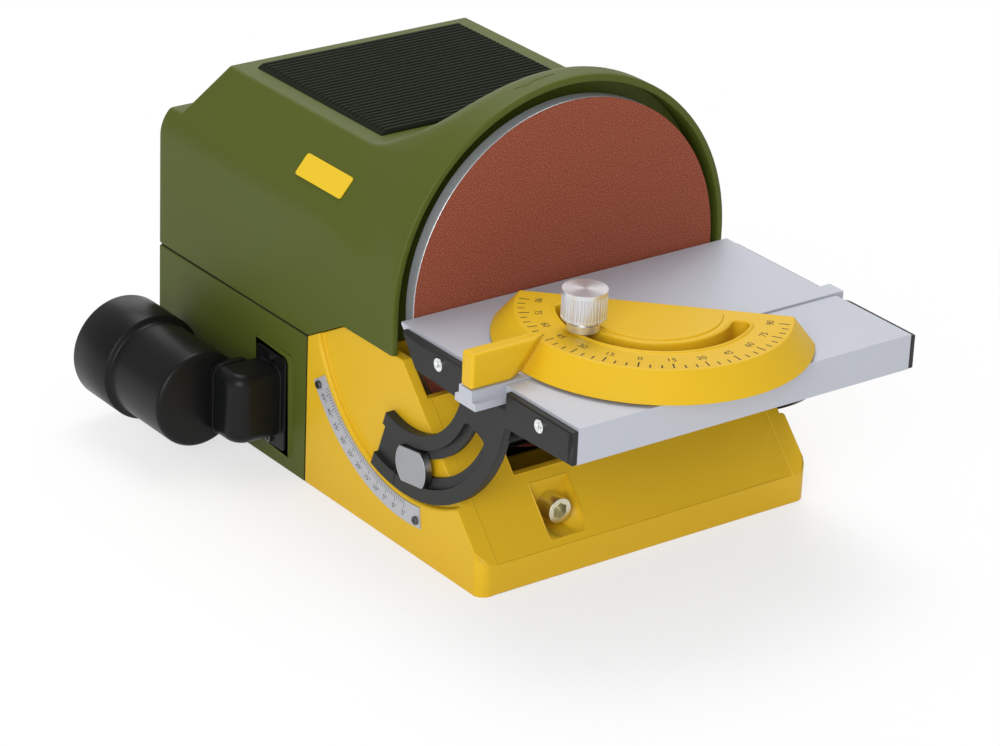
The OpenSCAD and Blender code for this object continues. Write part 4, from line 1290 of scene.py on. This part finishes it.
def stage_floor():
    """A pale floor: near the object it takes the shadow, and further off it shows plain white."""
    pale, size = (0.93, 0.93, 0.93), 12.0
    near_m, far_m, near_share, far_share = 0.1, 0.6, 0.6, 1.0
    mat, tree, bsdf = principled("studio_floor", pale, 0.9, specular=0.0)
    white = tree.nodes.new("ShaderNodeEmission")
    mix = tree.nodes.new("ShaderNodeMixShader")
    coords = tree.nodes.new("ShaderNodeTexCoord")
    away = tree.nodes.new("ShaderNodeVectorMath")
    reach = tree.nodes.new("ShaderNodeMapRange")
    rays = tree.nodes.new("ShaderNodeLightPath")
    seen = tree.nodes.new("ShaderNodeMath")
    share = tree.nodes.new("ShaderNodeMath")
    away.operation = "LENGTH"
    seen.operation = "MAXIMUM"
    share.operation = "MULTIPLY"
    reach.interpolation_type = "SMOOTHSTEP"
    reach.inputs["From Min"].default_value = near_m
    reach.inputs["From Max"].default_value = far_m
    reach.inputs["To Min"].default_value = near_share
    reach.inputs["To Max"].default_value = far_share
    links = tree.links
    links.new(coords.outputs["Object"], away.inputs[0])
    links.new(away.outputs["Value"], reach.inputs["Value"])
    links.new(rays.outputs["Is Camera Ray"], seen.inputs[0])
    links.new(rays.outputs["Is Glossy Ray"], seen.inputs[1])
    links.new(reach.outputs["Result"], share.inputs[0])
    links.new(seen.outputs["Value"], share.inputs[1])
    links.new(share.outputs["Value"], mix.inputs["Fac"])
    links.new(bsdf.outputs["BSDF"], mix.inputs[1])
    links.new(white.outputs["Emission"], mix.inputs[2])
    links.new(mix.outputs["Shader"], tree.nodes["Material Output"].inputs["Surface"])
    mesh = bpy.data.meshes.new("studio_floor")
    mesh.from_pydata(
        [(-size, -size, 0), (size, -size, 0), (size, size, 0), (-size, size, 0)],
        [],
        [(0, 1, 2, 3)],
    )
    floor = bpy.data.objects.new("studio_floor", mesh)
    bpy.context.scene.collection.objects.link(floor)
    mesh.materials.append(mat)


def soft_light(name, place, aim, size, watts):
    """A square soft box that looks at a point."""
    data = bpy.data.lights.new(name, "AREA")
    data.shape = "SQUARE"
    data.size = size
    data.energy = watts
    light = bpy.data.objects.new(name, data)
    bpy.context.scene.collection.objects.link(light)
    light.location = place
    light.rotation_mode = "QUATERNION"
    light.rotation_quaternion = (Vector(aim) - Vector(place)).to_track_quat("-Z", "Y")


def photo_camera():
    """A camera at the photograph's viewing angle, without shift."""
    azimuth, elevation, roll = (math.radians(a) for a in (-37.389, 24.581, 2.5))
    stand, widths = (-1.4792, -1.8668, 1.1763), 3.843743
    ahead = Vector(
        (
            -math.sin(azimuth) * math.cos(elevation),
            math.cos(azimuth) * math.cos(elevation),
            -math.sin(elevation),
        )
    )
    level = ahead.cross(Vector((0, 0, 1))).normalized()
    above = level.cross(ahead)
    right = level * math.cos(roll) + above * math.sin(roll)
    up = above * math.cos(roll) - level * math.sin(roll)
    data = bpy.data.cameras.new("photo_camera")
    data.sensor_width = 36.0
    data.lens = widths * data.sensor_width
    data.clip_end = 100.0
    camera = bpy.data.objects.new("photo_camera", data)
    bpy.context.scene.collection.objects.link(camera)
    place = Matrix((right, up, -ahead)).transposed().to_4x4()
    place.translation = Vector(stand)
    camera.matrix_world = place
    bpy.context.scene.camera = camera


def studio():
    """World light, soft boxes and the plain view transform."""
    white, strength = (1.0, 1.0, 1.0, 1.0), 0.45
    world = bpy.data.worlds.new("studio")
    world.use_nodes = True
    back = world.node_tree.nodes["Background"]
    back.inputs["Color"].default_value = white
    back.inputs["Strength"].default_value = strength
    bpy.context.scene.world = world
    for name, place, aim, size, watts in (
        ("key", (-2.1, -1.7, 1.2), (0, 0, 0.12), 1.6, 46),
        ("top", (0.6, 0.9, 2.5), (0, 0, 0.12), 1.8, 42),
        ("rim", (1.3, 2.5, 1.2), (0, 0, 0.2), 1.6, 8),
    ):
        soft_light(name, place, aim, size, watts)
    bpy.context.scene.view_settings.view_transform = "Standard"


stage_floor()
studio()
photo_camera()
